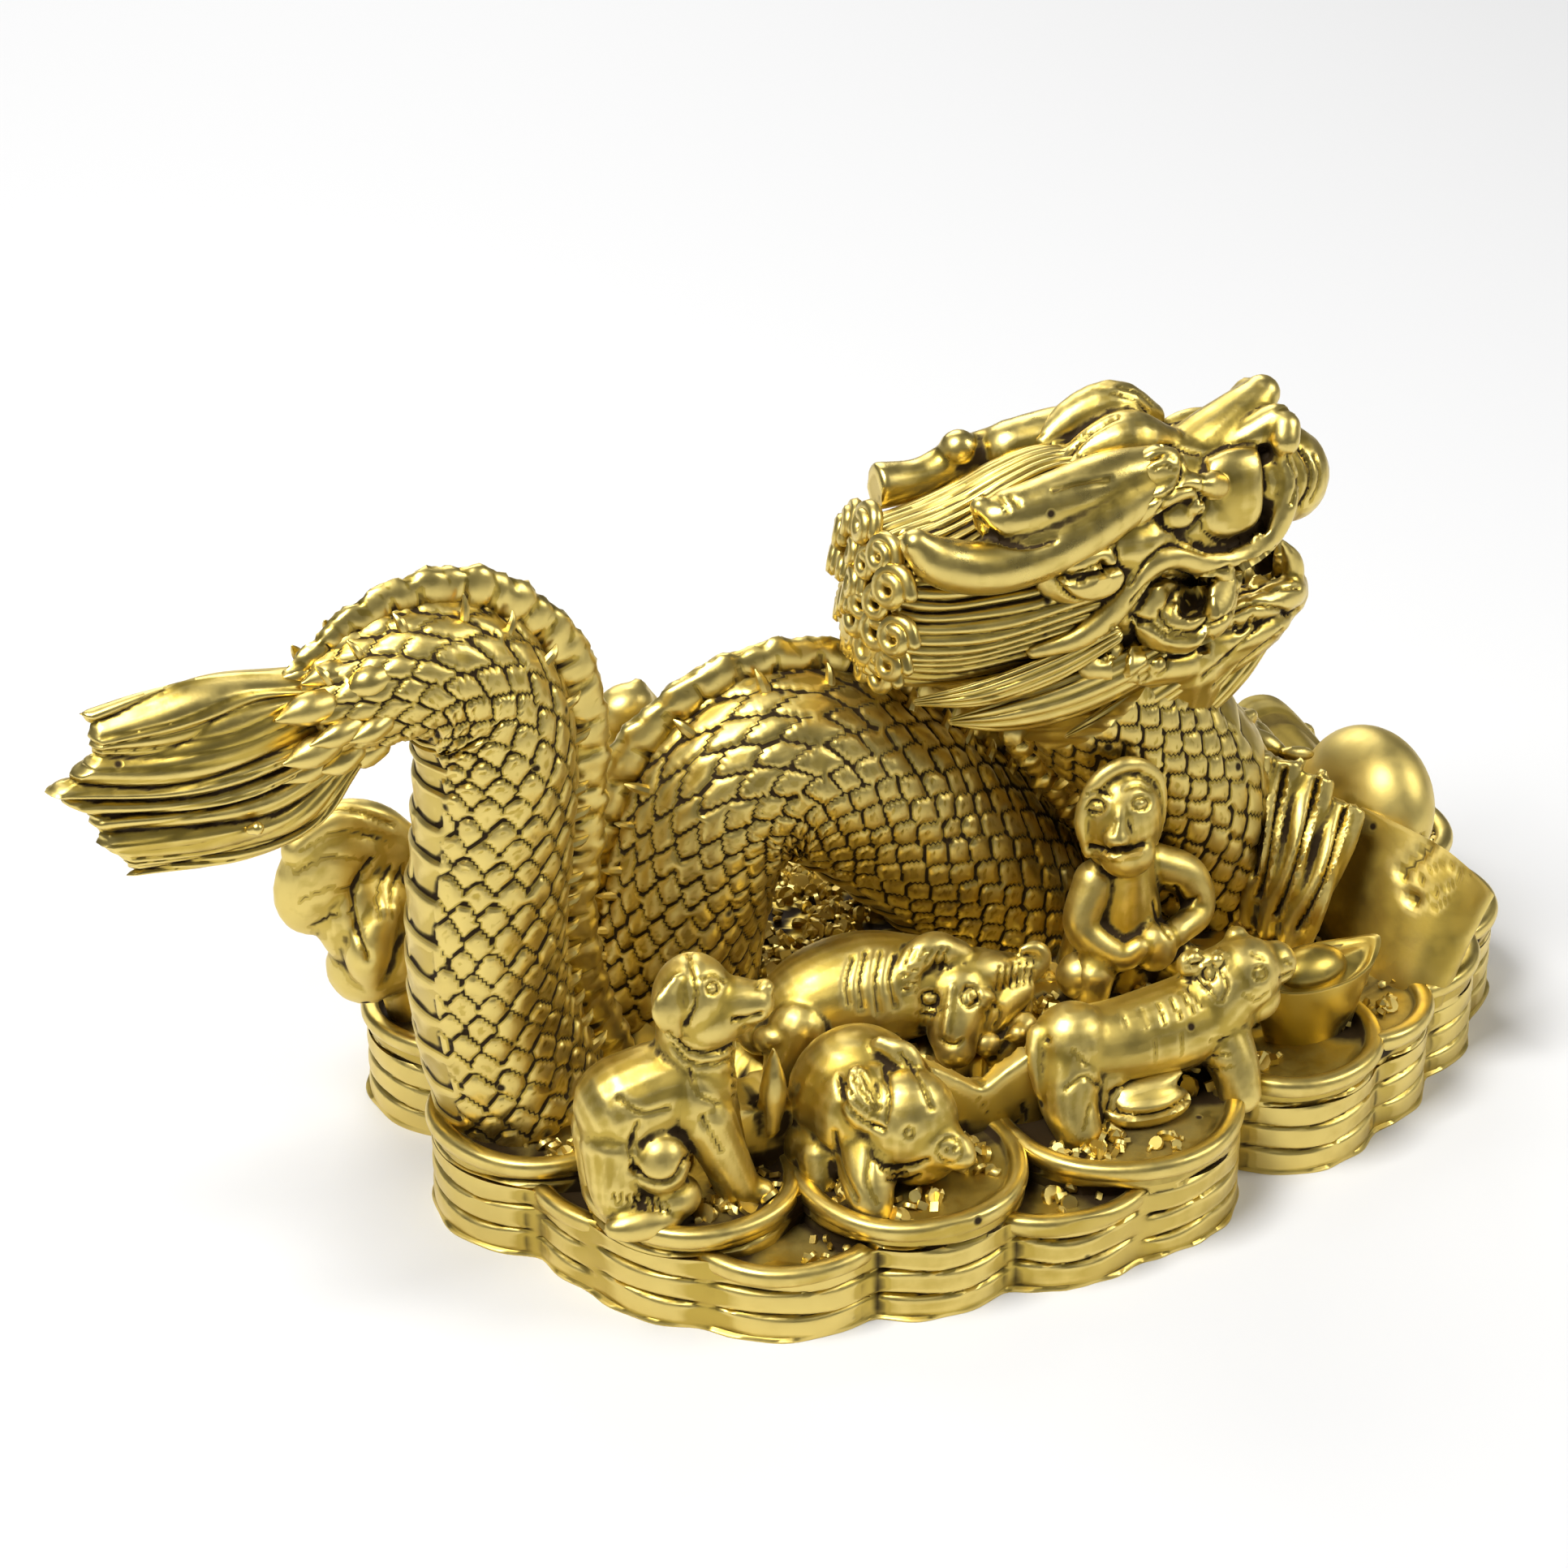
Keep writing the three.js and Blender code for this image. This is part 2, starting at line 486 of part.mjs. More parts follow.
function snake() {
  const line = [];
  const turns = 1.5;
  const steps = 12;
  for (let i = 0; i <= steps; i++) {
    const angle = (i / steps) * turns * 2 * Math.PI;
    const reach = 5.6 - (2.4 * i) / steps;
    line.push([17.6 + reach * Math.cos(angle), 34 + reach * Math.sin(angle), 12 + (7 * i) / steps]);
  }
  line.push([15.6, 33, 23.6], [19.6, 33.4, 27.4], [25, 34, 27]);
  return [
    bar(line, [0.9, 2.2, 2.3, 2.3, 2.3, 2.2, 2.4, 0.9],
      { rings: 14, sides: 4, across: new THREE.Vector3(0, 0, 1) }),
    lump([17.6, 34, 13], [4, 4, 3.6], [0, 0, 0], 0),
  ];
}

function rat() {
  return [
    bar([[43, 25.4, 13.4], [48.6, 21, 15.6], [52, 18.2, 16.6], [55.4, 15.8, 14.8]], [2, 4.4, 3, 0.9],
      { rings: 4, sides: 6 }),
    lump([50, 20.6, 20], [1.5, 0.8, 1.6], [0, 0, 0], 0),
    lump([52.6, 19.6, 19.4], [1.5, 0.8, 1.6], [0, 0, 0], 0),
  ];
}

// Flat sides of half-buried ingots and coins that show between the animals of the front row
function treasure() {
  return [
    block([-5.8, -24.6, 13.5], [12, 4, 9], [4, 0, 4]),
    block([-31.5, -26.4, 15], [9, 4, 10], [4, 0, 0]),
    lump([-47.4, -36.6, 15.6], [3.3, 3, 4]),
    lump([8.6, -29.6, 13], [6.4, 4.4, 3], [0, 0, 0], 0),
    lump([7.6, -17.4, 17], [2.8, 2.6, 2.8], [0, 0, 0], 0),
  ];
}

const parts = [
  bed(),
  mound(),
  bodyStretch(BODY.tail),
  bodyStretch(BODY.hump),
  bodyStretch(BODY.neck),
  ...tailFin(),
  ...head(),
  ...mane(),
  ...chest(),
  ...ingot([52, -2.6, 22.5], INGOT_BIG, 90),
  ...ingot([33, -25.6, 17.6], INGOT_SMALL, 3),
  ...[dog, tiger, horse, goat].flatMap(fourFooted),
  ...pig(),
  ...ox(),
  ...monkey(),
  ...rooster(),
  ...rabbit(),
  ...snake(),
  ...rat(),
  ...treasure(),
];

// The outer skin of a solid: where parts meet all round a small hollow, the hollow is left filled.
// Triangles that share a corner belong to one shell, and the largest shell is the outside.
function outerSkin(mesh) {
  const shellOf = Array.from({ length: mesh.vertProperties.length / 3 }, (_, i) => i);
  const find = (i) => {
    let root = i;
    while (shellOf[root] !== root) root = shellOf[root];
    shellOf[i] = root;
    return root;
  };
  const corners = mesh.triVerts;
  for (let i = 0; i < corners.length; i += 3) {
    shellOf[find(corners[i])] = find(corners[i + 1]);
    shellOf[find(corners[i + 1])] = find(corners[i + 2]);
  }
  const sizes = new Map();
  for (let i = 0; i < corners.length; i += 3) {
    sizes.set(find(corners[i]), (sizes.get(find(corners[i])) ?? 0) + 1);
  }
  const largest = [...sizes.entries()].sort((a, b) => b[1] - a[1])[0][0];
  const kept = [];
  for (let i = 0; i < corners.length; i += 3) {
    if (find(corners[i]) === largest) kept.push(corners[i], corners[i + 1], corners[i + 2]);
  }
  return kept;
}

const casting = joined(parts).getMesh();
const geometry = new THREE.BufferGeometry();
geometry.setAttribute('position', new THREE.BufferAttribute(Float32Array.from(casting.vertProperties), 3));
geometry.setIndex(outerSkin(casting));
geometry.computeVertexNormals();

const gold = new THREE.MeshStandardMaterial({ color: 0xc9a03a, roughness: 0.34, metalness: 0.9 });
const figure = new THREE.Mesh(geometry, gold);
figure.name = 'dragon_figure';

const group = new THREE.Group();
group.add(figure);
export default group;
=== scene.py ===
# A gold-painted cast resin figurine: a dragon that dives in and out of an oval bed of coin
# stacks, with two boat-shaped ingots and small animals seated round it. It is one casting, so
# every piece below rides on the one body and stands for a part of the one solid of the frame.
import math
import random

import bpy
import numpy as np
from mathutils import Euler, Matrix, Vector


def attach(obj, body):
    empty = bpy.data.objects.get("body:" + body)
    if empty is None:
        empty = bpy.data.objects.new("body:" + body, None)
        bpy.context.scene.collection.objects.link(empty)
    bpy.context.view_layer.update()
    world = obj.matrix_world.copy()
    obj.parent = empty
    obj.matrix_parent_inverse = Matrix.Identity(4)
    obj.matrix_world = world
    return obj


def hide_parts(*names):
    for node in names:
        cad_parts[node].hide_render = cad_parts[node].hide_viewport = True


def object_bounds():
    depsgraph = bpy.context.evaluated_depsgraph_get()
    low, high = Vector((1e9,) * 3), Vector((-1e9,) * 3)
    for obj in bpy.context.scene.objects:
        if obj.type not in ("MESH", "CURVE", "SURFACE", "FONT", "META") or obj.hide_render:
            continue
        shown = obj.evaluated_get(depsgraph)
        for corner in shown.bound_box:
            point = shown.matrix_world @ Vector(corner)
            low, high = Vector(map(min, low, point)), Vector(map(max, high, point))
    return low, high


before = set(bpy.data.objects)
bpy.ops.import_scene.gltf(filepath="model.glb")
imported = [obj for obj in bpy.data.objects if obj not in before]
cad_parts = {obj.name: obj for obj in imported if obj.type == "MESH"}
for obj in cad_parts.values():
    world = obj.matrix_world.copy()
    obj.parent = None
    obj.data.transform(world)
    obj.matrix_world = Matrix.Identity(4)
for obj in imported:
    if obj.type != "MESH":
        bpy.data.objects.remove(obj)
cad_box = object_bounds()
MM = 0.001


# The camera looks from the front left and well above, as the figurine is seen on a table.
# Its distance is measured from a point in the middle of the figurine.
LOOK_AT = (-0.01853, 0.00542, 0.034)
LOOK_FROM = {"azimuth": math.radians(-20), "elevation": math.radians(30), "distance": 0.48}
LENS = 100.17

bpy.ops.object.select_all(action="DESELECT")
around, above = LOOK_FROM["azimuth"], LOOK_FROM["elevation"]
backwards = (math.sin(around) * math.cos(above), -math.cos(around) * math.cos(above), math.sin(above))
eye = [LOOK_AT[i] + LOOK_FROM["distance"] * backwards[i] for i in range(3)]
bpy.ops.object.camera_add(location=eye, rotation=(math.pi / 2 - above, 0, around))
camera = bpy.context.object
camera.data.lens = LENS
camera.data.clip_start = 0.01
bpy.context.scene.camera = camera


# The finish of the whole casting: metallic gold paint over dark resin. The grooves are dark, partly
# from paint gathered in them and partly as painted shade; high edges are rubbed bright, and small air
# holes show as dark dots.
GOLD = {"bright": (0.78, 0.61, 0.19, 1), "plain": (0.55, 0.40, 0.08, 1), "groove": (0.035, 0.018, 0.002, 1)}
PAINT_INPUTS = [
    ("Bright", "NodeSocketColor", GOLD["bright"]), ("Plain", "NodeSocketColor", GOLD["plain"]),
    ("Groove", "NodeSocketColor", GOLD["groove"]), ("Polish", "NodeSocketFloat", 0.27),
    ("Pits", "NodeSocketFloat", 0.5),
]
PAINT_OUTPUTS = [
    ("Color", "NodeSocketColor"), ("Roughness", "NodeSocketFloat"), ("Metal", "NodeSocketFloat"),
    ("Height", "NodeSocketFloat"),
]
# Noises by scale and detail, the pin holes, and how hollow a place is where paint rubs off, and where
# it goes dark from gathered paint and painted shade
NOISE = {"drift": (70, 3), "mottle": (420, 3), "grain": (2600, 2)}
PIN_HOLES = {"scale": 240, "rare": 0.98, "by_pits": 0.2, "size": (0.16, 0.07)}
WEAR_AND_SHADE = {"uneven": 0.18, "rubbed": (0.46, 0.26), "pooled_and_shaded": (0.60, 0.92), "patches": (0.48, 0.68, 0.0, 0.45)}
SHEEN = {"mottle": (0.3, 0.7, -0.05, 0.08), "rough_groove": 0.38, "metal_groove": 0.55}
RELIEF = {"mottle": 0.55, "grain": 0.22, "hole": 2.0}


def node(tree, kind, **settings):
    made = tree.nodes.new(kind)
    for key, value in settings.items():
        setattr(made, key, value)
    return made


def reckon(tree, operation, first, second):
    """A Math node on two inputs, each a number or an output socket."""
    made = node(tree, "ShaderNodeMath", operation=operation)
    for i, value in enumerate((first, second)):
        if isinstance(value, (int, float)):
            made.inputs[i].default_value = value
        else:
            tree.links.new(value, made.inputs[i])
    return made.outputs[0]


def blend_of(tree, amount, first, second):
    """A colour mix, where each colour is a value or an output socket."""
    made = node(tree, "ShaderNodeMix", data_type="RGBA")
    tree.links.new(amount, made.inputs["Factor"])
    for socket, value in ((made.inputs[6], first), (made.inputs[7], second)):
        if isinstance(value, tuple):
            socket.default_value = value
        else:
            tree.links.new(value, socket)
    return made.outputs[2]


def range_of(tree, value, low, high, to_low=0.0, to_high=1.0):
    made = node(tree, "ShaderNodeMapRange", interpolation_type="SMOOTHSTEP")
    tree.links.new(value, made.inputs["Value"])
    for name, number in (("From Min", low), ("From Max", high), ("To Min", to_low), ("To Max", to_high)):
        made.inputs[name].default_value = number
    return made.outputs["Result"]


def paint_group():
    """Colour, roughness, metal and height of the gold paint, from the piece's `hollow` attribute."""
    group = bpy.data.node_groups.new("cast gold paint", "ShaderNodeTree")
    for name, kind, value in PAINT_INPUTS:
        group.interface.new_socket(name=name, in_out="INPUT", socket_type=kind).default_value = value
    for name, kind in PAINT_OUTPUTS:
        group.interface.new_socket(name=name, in_out="OUTPUT", socket_type=kind)
    given = node(group, "NodeGroupInput")
    out = node(group, "NodeGroupOutput")
    place = node(group, "ShaderNodeTexCoord").outputs["Object"]
    hollow = node(group, "ShaderNodeAttribute", attribute_name="hollow").outputs["Fac"]

    def noise(scale, detail):
        made = node(group, "ShaderNodeTexNoise")
        made.inputs["Scale"].default_value = scale
        made.inputs["Detail"].default_value = detail
        group.links.new(place, made.inputs["Vector"])
        return made.outputs["Fac"]

    drift, mottle, grain = noise(*NOISE["drift"]), noise(*NOISE["mottle"]), noise(*NOISE["grain"])
    holes = node(group, "ShaderNodeTexVoronoi")
    holes.inputs["Scale"].default_value = PIN_HOLES["scale"]
    group.links.new(place, holes.inputs["Vector"])
    chosen = node(group, "ShaderNodeSeparateColor")
    group.links.new(holes.outputs["Color"], chosen.inputs[0])
    more = reckon(group, "MULTIPLY", given.outputs["Pits"], PIN_HOLES["by_pits"])
    rare = reckon(group, "GREATER_THAN", reckon(group, "ADD", chosen.outputs[0], more), PIN_HOLES["rare"])
    dot = range_of(group, holes.outputs["Distance"], *PIN_HOLES["size"])
    pit = reckon(group, "MULTIPLY", rare, dot)

    # Dark grooves come from the `hollow` attribute: partly gathered paint, partly painted shade in recesses
    # and in crowded places
    uneven = reckon(group, "MULTIPLY", reckon(group, "SUBTRACT", mottle, 0.5), WEAR_AND_SHADE["uneven"])
    wear_and_shade = reckon(group, "ADD", hollow, uneven)
    edge = range_of(group, wear_and_shade, *WEAR_AND_SHADE["rubbed"])
    groove = range_of(group, wear_and_shade, *WEAR_AND_SHADE["pooled_and_shaded"])
    groove = reckon(group, "MAXIMUM", groove, pit)
    lit = reckon(group, "MAXIMUM", edge, range_of(group, drift, *WEAR_AND_SHADE["patches"]))
    colour = blend_of(group, lit, given.outputs["Plain"], given.outputs["Bright"])
    colour = blend_of(group, groove, colour, given.outputs["Groove"])
    group.links.new(colour, out.inputs["Color"])
    rough = reckon(group, "ADD", given.outputs["Polish"], range_of(group, mottle, *SHEEN["mottle"]))
    rough = reckon(group, "ADD", rough, reckon(group, "MULTIPLY", groove, SHEEN["rough_groove"]))
    group.links.new(rough, out.inputs["Roughness"])
    group.links.new(range_of(group, groove, 0.0, 1.0, 1.0, SHEEN["metal_groove"]), out.inputs["Metal"])
    coarse = reckon(group, "MULTIPLY", mottle, RELIEF["mottle"])
    height = reckon(group, "ADD", coarse, reckon(group, "MULTIPLY", grain, RELIEF["grain"]))
    height = reckon(group, "SUBTRACT", height, reckon(group, "MULTIPLY", pit, RELIEF["hole"]))
    group.links.new(height, out.inputs["Height"])
    return group


PAINT = paint_group()
BUMP_DEPTH = 0.00009


def gold_paint(name, polish=0.38, pits=0.5, bump=0.35):
    """The gold finish with its own polish, amount of air holes and grain."""
    made = bpy.data.materials.new(name)
    made.use_nodes = True
    tree = made.node_tree
    shader = tree.nodes["Principled BSDF"]
    paint = node(tree, "ShaderNodeGroup", node_tree=PAINT)
    paint.inputs["Polish"].default_value = polish
    paint.inputs["Pits"].default_value = pits
    relief = node(tree, "ShaderNodeBump")
    relief.inputs["Strength"].default_value = bump
    relief.inputs["Distance"].default_value = BUMP_DEPTH
    tree.links.new(paint.outputs["Color"], shader.inputs["Base Color"])
    tree.links.new(paint.outputs["Roughness"], shader.inputs["Roughness"])
    tree.links.new(paint.outputs["Metal"], shader.inputs["Metallic"])
    tree.links.new(paint.outputs["Height"], relief.inputs["Height"])
    tree.links.new(relief.outputs["Normal"], shader.inputs["Normal"])
    return made


# The bed: twenty stacks of coins cast as one oval block. Its side is scalloped, each joint
# between two coins is a thin dark groove that often stops short of the neighbouring stack, full
# stacks have a rounded rim round a sunk top, and a thin rag of casting flash runs along the foot.
BED = {"half_length": 55, "half_width": 37}
COIN = {"thickness": 3.0, "groove": 0.75, "groove_half": 0.24, "bulge": 0.14, "fillet": 0.8, "recess": 1.2,
        "rounding": 0.45}
FULL, LOW = 4, 3
STACKS = [
    (-53, -13, 12, FULL), (-46, -24, 11, LOW), (-42, -31, 11.4, FULL), (-34, -36, 12, LOW),
    (-20, -36.5, 12.6, FULL), (-5, -37, 12.2, LOW), (5, -33, 14, FULL), (27.5, -27.5, 11, FULL),
    (37.5, -24, 9.2, FULL), (46.5, -15.5, 10.2, FULL), (52.8, -7, 10.6, FULL), (55.5, 9, 10.5, FULL),
    (47, 23, 10.8, FULL), (34, 32, 10.8, LOW), (20, 35.5, 11.8, FULL), (4, 37.5, 11.4, LOW),
    (-11, 36.5, 12, FULL), (-28, 34, 12.4, FULL), (-43, 24.5, 11.4, LOW), (-54.5, 10, 11.4, FULL),
]
MOUND = {"half_length": 44, "half_width": 27, "height": 14.2, "slope": 0.12, "floor": 2.6, "uneven": 0.3}
SHELF = {"sunk": 1.6, "met": 0.7, "meeting": 0.3}
FLASH = {"height": 0.45, "reach": 0.6}
WALL_BACK = 0.45
BED_COLUMNS, BED_ROWS = 470, 78
VALLEY = {"from": 0.2, "to": 1.6, "below": 8.8, "least": 0.3}


def places_of(piece):
    """The places of a piece's vertices in millimetres."""
    flat = np.empty(len(piece.data.vertices) * 3, np.float32)
    piece.data.vertices.foreach_get("co", flat)
    return flat.reshape(-1, 3).astype(float) / MM


def normals_of(piece):
    flat = np.empty(len(piece.data.vertices) * 3, np.float32)
    piece.data.vertices.foreach_get("normal", flat)
    return flat.reshape(-1, 3).astype(float)


def edges_of(piece):
    flat = np.empty(len(piece.data.edges) * 2, np.int32)
    piece.data.edges.foreach_get("vertices", flat)
    return flat.reshape(-1, 2)


def move_to(piece, places):
    piece.data.vertices.foreach_set("co", (places * MM).astype(np.float32).ravel())
    piece.data.update()


def evened(places, edges, rounds):
    """Every vertex moved to the middle of its neighbours, `rounds` times over."""
    count = len(places)
    ends = np.concatenate([edges[:, 0], edges[:, 1]])
    others = np.concatenate([edges[:, 1], edges[:, 0]])
    share = np.maximum(np.bincount(ends, minlength=count), 1)[:, None]
    for _ in range(rounds):
        total = [np.bincount(ends, weights=places[others, i], minlength=count) for i in range(3)]
        places = 0.5 * places + 0.5 * np.stack(total, axis=1) / share
    return places


# Rounds of evening, and the depth in millimetres that counts as a full groove
HOLLOW = {"fine": (4, 0.05), "broad": (24, 0.4)}
BOX_MARGIN = 0.03


def hollow_of(piece):
    """How hollow each place of a finished piece is, from 0 for an edge to 1 for a deep groove."""
    flat = np.empty(len(piece.data.vertices), np.float32)
    piece.data.attributes["hollow"].data.foreach_get("value", flat)
    return flat


def note_hollow(piece, hollow):
    kept = np.clip(hollow, 0, 1).astype(np.float32)
    piece.data.attributes["hollow"].data.foreach_set("value", kept)


def finish_piece(piece, name, material, smooth_angle=55, dark=1.0, broad=1.0):
    """Names a finished piece, keeps it inside the frame's box, notes how hollow each place is
    (0.5 is flat, 1 a deep groove; `dark` scales it and `broad` the share of wide hollows), and ties
    it to the casting."""
    piece.name = name
    piece.data.name = name
    low, high = [np.array(corner) / MM for corner in cad_box]
    move_to(piece, np.clip(places_of(piece), low + BOX_MARGIN, high - BOX_MARGIN))
    edges = edges_of(piece)
    places, normals = places_of(piece), normals_of(piece)
    # How hollow each place is; the paint darkens it, partly as gathered paint and partly as painted shade
    depth = np.zeros(len(places))
    for (rounds, scale), share in zip(HOLLOW.values(), (1, broad)):
        sunk = np.sum((evened(places, edges, rounds) - places) * normals, axis=1)
        depth += share * np.clip(sunk / scale, -1, 1) * 0.5
    piece.data.attributes.new("hollow", "FLOAT", "POINT")
    note_hollow(piece, 0.5 + 0.5 * dark * depth)
    piece.data.materials.clear()
    piece.data.materials.append(material)
    choose(piece)
    bpy.ops.object.shade_smooth_by_angle(angle=math.radians(smooth_angle))
    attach(piece, "root")
    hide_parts("dragon_figure")
    return piece


def choose(*pieces):
    """Selects only these pieces and makes the first one active."""
    bpy.ops.object.select_all(action="DESELECT")
    for piece in pieces:
        piece.select_set(True)
    bpy.context.view_layer.objects.active = pieces[0]


def sealed(piece, gap=0.002):
    """Joins the meeting edges of a wrapped grid, closes its ends and turns its faces outwards."""
    choose(piece)
    bpy.ops.object.mode_set(mode="EDIT")
    bpy.ops.mesh.select_all(action="SELECT")
    bpy.ops.mesh.remove_doubles(threshold=gap * MM)
    bpy.ops.mesh.select_all(action="DESELECT")
    bpy.ops.mesh.select_non_manifold(extend=False, use_boundary=True, use_multi_face=False,
                                     use_non_contiguous=False, use_verts=False)
    bpy.ops.mesh.fill_holes(sides=0)
    bpy.ops.mesh.select_all(action="SELECT")
    bpy.ops.mesh.normals_make_consistent(inside=False)
    bpy.ops.object.mode_set(mode="OBJECT")
    return piece


def wrapped(rows, columns, lay):
    """A primitive grid laid out anew: `lay` turns each vertex's row and column, both from 0 to 1,
    into its place in millimetres."""
    bpy.ops.object.select_all(action="DESELECT")
    bpy.ops.mesh.primitive_grid_add(x_subdivisions=rows, y_subdivisions=columns, size=2)
    piece = bpy.context.object
    flat = places_of(piece) * MM
    move_to(piece, lay((flat[:, 0] + 1) / 2, (flat[:, 1] + 1) / 2))
    return piece


def reach_of_bed(angle, coins):
    """How far the bed reaches in each direction, counting stacks of at least `coins` coins, which
    stack reaches there, and how far the direction is from the next stack's edge."""
    dx, dy = np.cos(angle), np.sin(angle)
    far = [1 / np.hypot(dx / BED["half_length"], dy / BED["half_width"])]
    for x, y, radius, height in STACKS:
        along = x * dx + y * dy
        room = radius ** 2 - x ** 2 - y ** 2 + along ** 2
        reaches = (room > 0) & (height >= coins)
        far.append(np.where(reaches, along + np.sqrt(np.maximum(room, 0)), 0))
    far = np.array(far)
    order = np.sort(far, axis=0)
    lead = order[-1] - order[-2]
    return order[-1] + COIN["fillet"] * np.log1p(np.exp(-lead / COIN["fillet"])), far.argmax(axis=0), lead


def smooth_step(value, low, high):
    t = np.clip((value - low) / (high - low), 0, 1)
    return t * t * (3 - 2 * t)


def ripple(x, y, z, size, seed):
    """A soft, repeatable unevenness between -1 and 1 with bumps of about `size` millimetres."""
    total = np.zeros_like(x)
    for k in range(5):
        a, b, c = [math.sin(seed * 12.9 + k * 7.3 + j * 4.1) for j in range(3)]
        total += np.sin((a * x + b * y + c * z) * 6.28 / size * (1 + 0.35 * k) + seed + 2.1 * k)
    return total / 3


def top_of_bed(x, y):
    """Height of the bed's top under the coin faces: a low floor and the heap in the middle."""
    level = COIN["thickness"] * FULL - MOUND["floor"]
    away = np.hypot(x / MOUND["half_length"], y / MOUND["half_width"])
    heap = level + (MOUND["height"] - level) * smooth_step(away, 1.0, 1.0 - MOUND["slope"])
    return heap + MOUND["uneven"] * ripple(x, y, 0 * x, 6, 3) * smooth_step(away, 1.0, 0.9)


def lay_bed(row, column):
    angle = column * 2 * math.pi - math.pi
    step = np.round(row * BED_ROWS)
    foot_rows, wall_rows, shelf_rows, upper_rows = 2, 38, 2, 12
    x, y, z = np.zeros_like(row), np.zeros_like(row), np.zeros_like(row)
    for k in range(BED_ROWS + 1):
        at = step == k
        a = angle[at]
        if k < foot_rows:
            far = reach_of_bed(a, 1)[0] * (0 if k == 0 else 0.97)
            height = np.zeros_like(a)
        elif k < foot_rows + wall_rows:
            height = (k - foot_rows) / (wall_rows - 1) * (COIN["thickness"] * LOW - COIN["rounding"]) + 0 * a
            far = wall_reach(a, height, 1)
        elif k < foot_rows + wall_rows + shelf_rows:
            t = (k - foot_rows - wall_rows + 1) / shelf_rows
            outer = wall_reach(a, COIN["thickness"] * LOW, 1)
            inner = wall_reach(a, COIN["thickness"] * LOW, FULL)
            far = outer + (inner - outer) * t
            sunk = np.where(outer - inner < SHELF["meeting"], SHELF["met"], SHELF["sunk"])
            height = COIN["thickness"] * LOW - sunk
        elif k < foot_rows + wall_rows + shelf_rows + upper_rows:
            t = (k - foot_rows - wall_rows - shelf_rows + 1) / upper_rows
            height = COIN["thickness"] * (LOW + t) - COIN["rounding"] + 0 * a
            far = wall_reach(a, height, FULL)
        else:
            first = foot_rows + wall_rows + shelf_rows + upper_rows
            t = (k - first + 1) / (BED_ROWS - first + 1)
            far = wall_reach(a, COIN["thickness"] * FULL - 0.35, FULL) * (1 - t)
            height = top_of_bed(far * np.cos(a), far * np.sin(a))
        x[at], y[at], z[at] = far * np.cos(a), far * np.sin(a), height
    return np.stack([x, y, z], axis=1)


def wall_reach(angle, height, coins):
    """The bed's side at a height: coin edges that bulge a little, and the grooves between them."""
    far, owner, lead = reach_of_bed(angle, coins)
    height = height + 0 * angle
    # The joints of each stack sit a little higher or lower than its neighbour's, and waver
    shift = 0.34 * np.sin(owner * 2.4) + 0.22 * np.sin(angle * 23 + owner)
    joint = (height - shift) / COIN["thickness"]
    nearest = np.round(joint)
    off = np.abs(joint - nearest) * COIN["thickness"]
    fade = smooth_step(lead, 0.15, 0.5 + 1.6 * np.abs(np.sin(owner * 5.1 + nearest * 2.2)))
    there = (nearest > 0.5) & (nearest < FULL - 0.5)
    width = COIN["groove_half"] * (0.8 + 0.4 * np.sin(angle * 31 + nearest * 2))
    cut = COIN["groove"] * np.exp(-(off / width) ** 2) * there * fade
    swell = COIN["bulge"] * np.cos(np.clip(off / COIN["thickness"] * 2 - 1, -1, 0) * math.pi / 2)
    rag = FLASH["reach"] * (0.55 + 0.45 * np.sin(angle * 41) * np.sin(angle * 17 + 1))
    foot = rag * smooth_step(height, FLASH["height"], FLASH["height"] * 0.6)
    return far - WALL_BACK - cut + swell + foot


coin_gold = gold_paint("gold on the coin stacks", polish=0.37, pits=0.75)
bed = sealed(wrapped(BED_ROWS, BED_COLUMNS, lay_bed))
finish_piece(bed, "coin_bed", coin_gold, dark=1.3, broad=0.1)

# The dark of the side's grooves fades in the valleys between the stacks
side = places_of(bed)
lead = reach_of_bed(np.arctan2(side[:, 1], side[:, 0]), 1)[2]
valley = VALLEY["least"] + (1 - VALLEY["least"]) * smooth_step(lead, VALLEY["from"], VALLEY["to"])
note_hollow(bed, 0.5 + (hollow_of(bed) - 0.5) * np.where(side[:, 2] < VALLEY["below"], valley, 1))


# The top coin of every stack: a broad rounded rim round a sunk face. Where two stacks share a
# place, the one nearer the front lies whole and the other is cut off.
# Places across the rim of a coin: how far in from its edge, and how far above its top
FACE = [(0.5, -2.3), (0.0, -1.7), (-0.16, -1.2), (-0.14, -0.7), (0.02, -0.32), (0.3, -0.08), (0.75, 0.0),
        (1.3, -0.03), (1.7, -0.2), (1.95, -0.5), (2.15, -0.85), (2.5, -1.1), (3.2, -1.2)]
FACE_COLUMNS = 72
UNEVEN_COIN = 0.1


def coin_face(x, y, radius, coins):
    depth, height = np.array(FACE).T
    top = coins * COIN["thickness"]

    def lay(row, column):
        i = np.round(row * (len(FACE) + 1)).astype(int)
        ring = np.clip(i - 1, 0, len(FACE) - 1)
        angle = column * 2 * math.pi
        edge = np.where((i == 0) | (i > len(FACE)), 0, radius - depth[ring])
        edge = edge + UNEVEN_COIN * np.sin(angle * 5 + radius) * (edge > 2)
        px, py = x + edge * np.cos(angle), y + edge * np.sin(angle)
        pz = top + height[ring] + UNEVEN_COIN * np.sin(angle * 3 + x) * (i > 2) * (i < 12)
        for ox, oy, other, n in STACKS:
            if n >= coins and oy < y - 0.1:
                cut = smooth_step(other - np.hypot(px - ox, py - oy), 0.5, 1.4)
                pz = pz - cut * np.clip(pz - (top - 1.9), 0, 3)
        return np.stack([px, py, pz], axis=1)

    return wrapped(len(FACE) + 1, FACE_COLUMNS, lay)


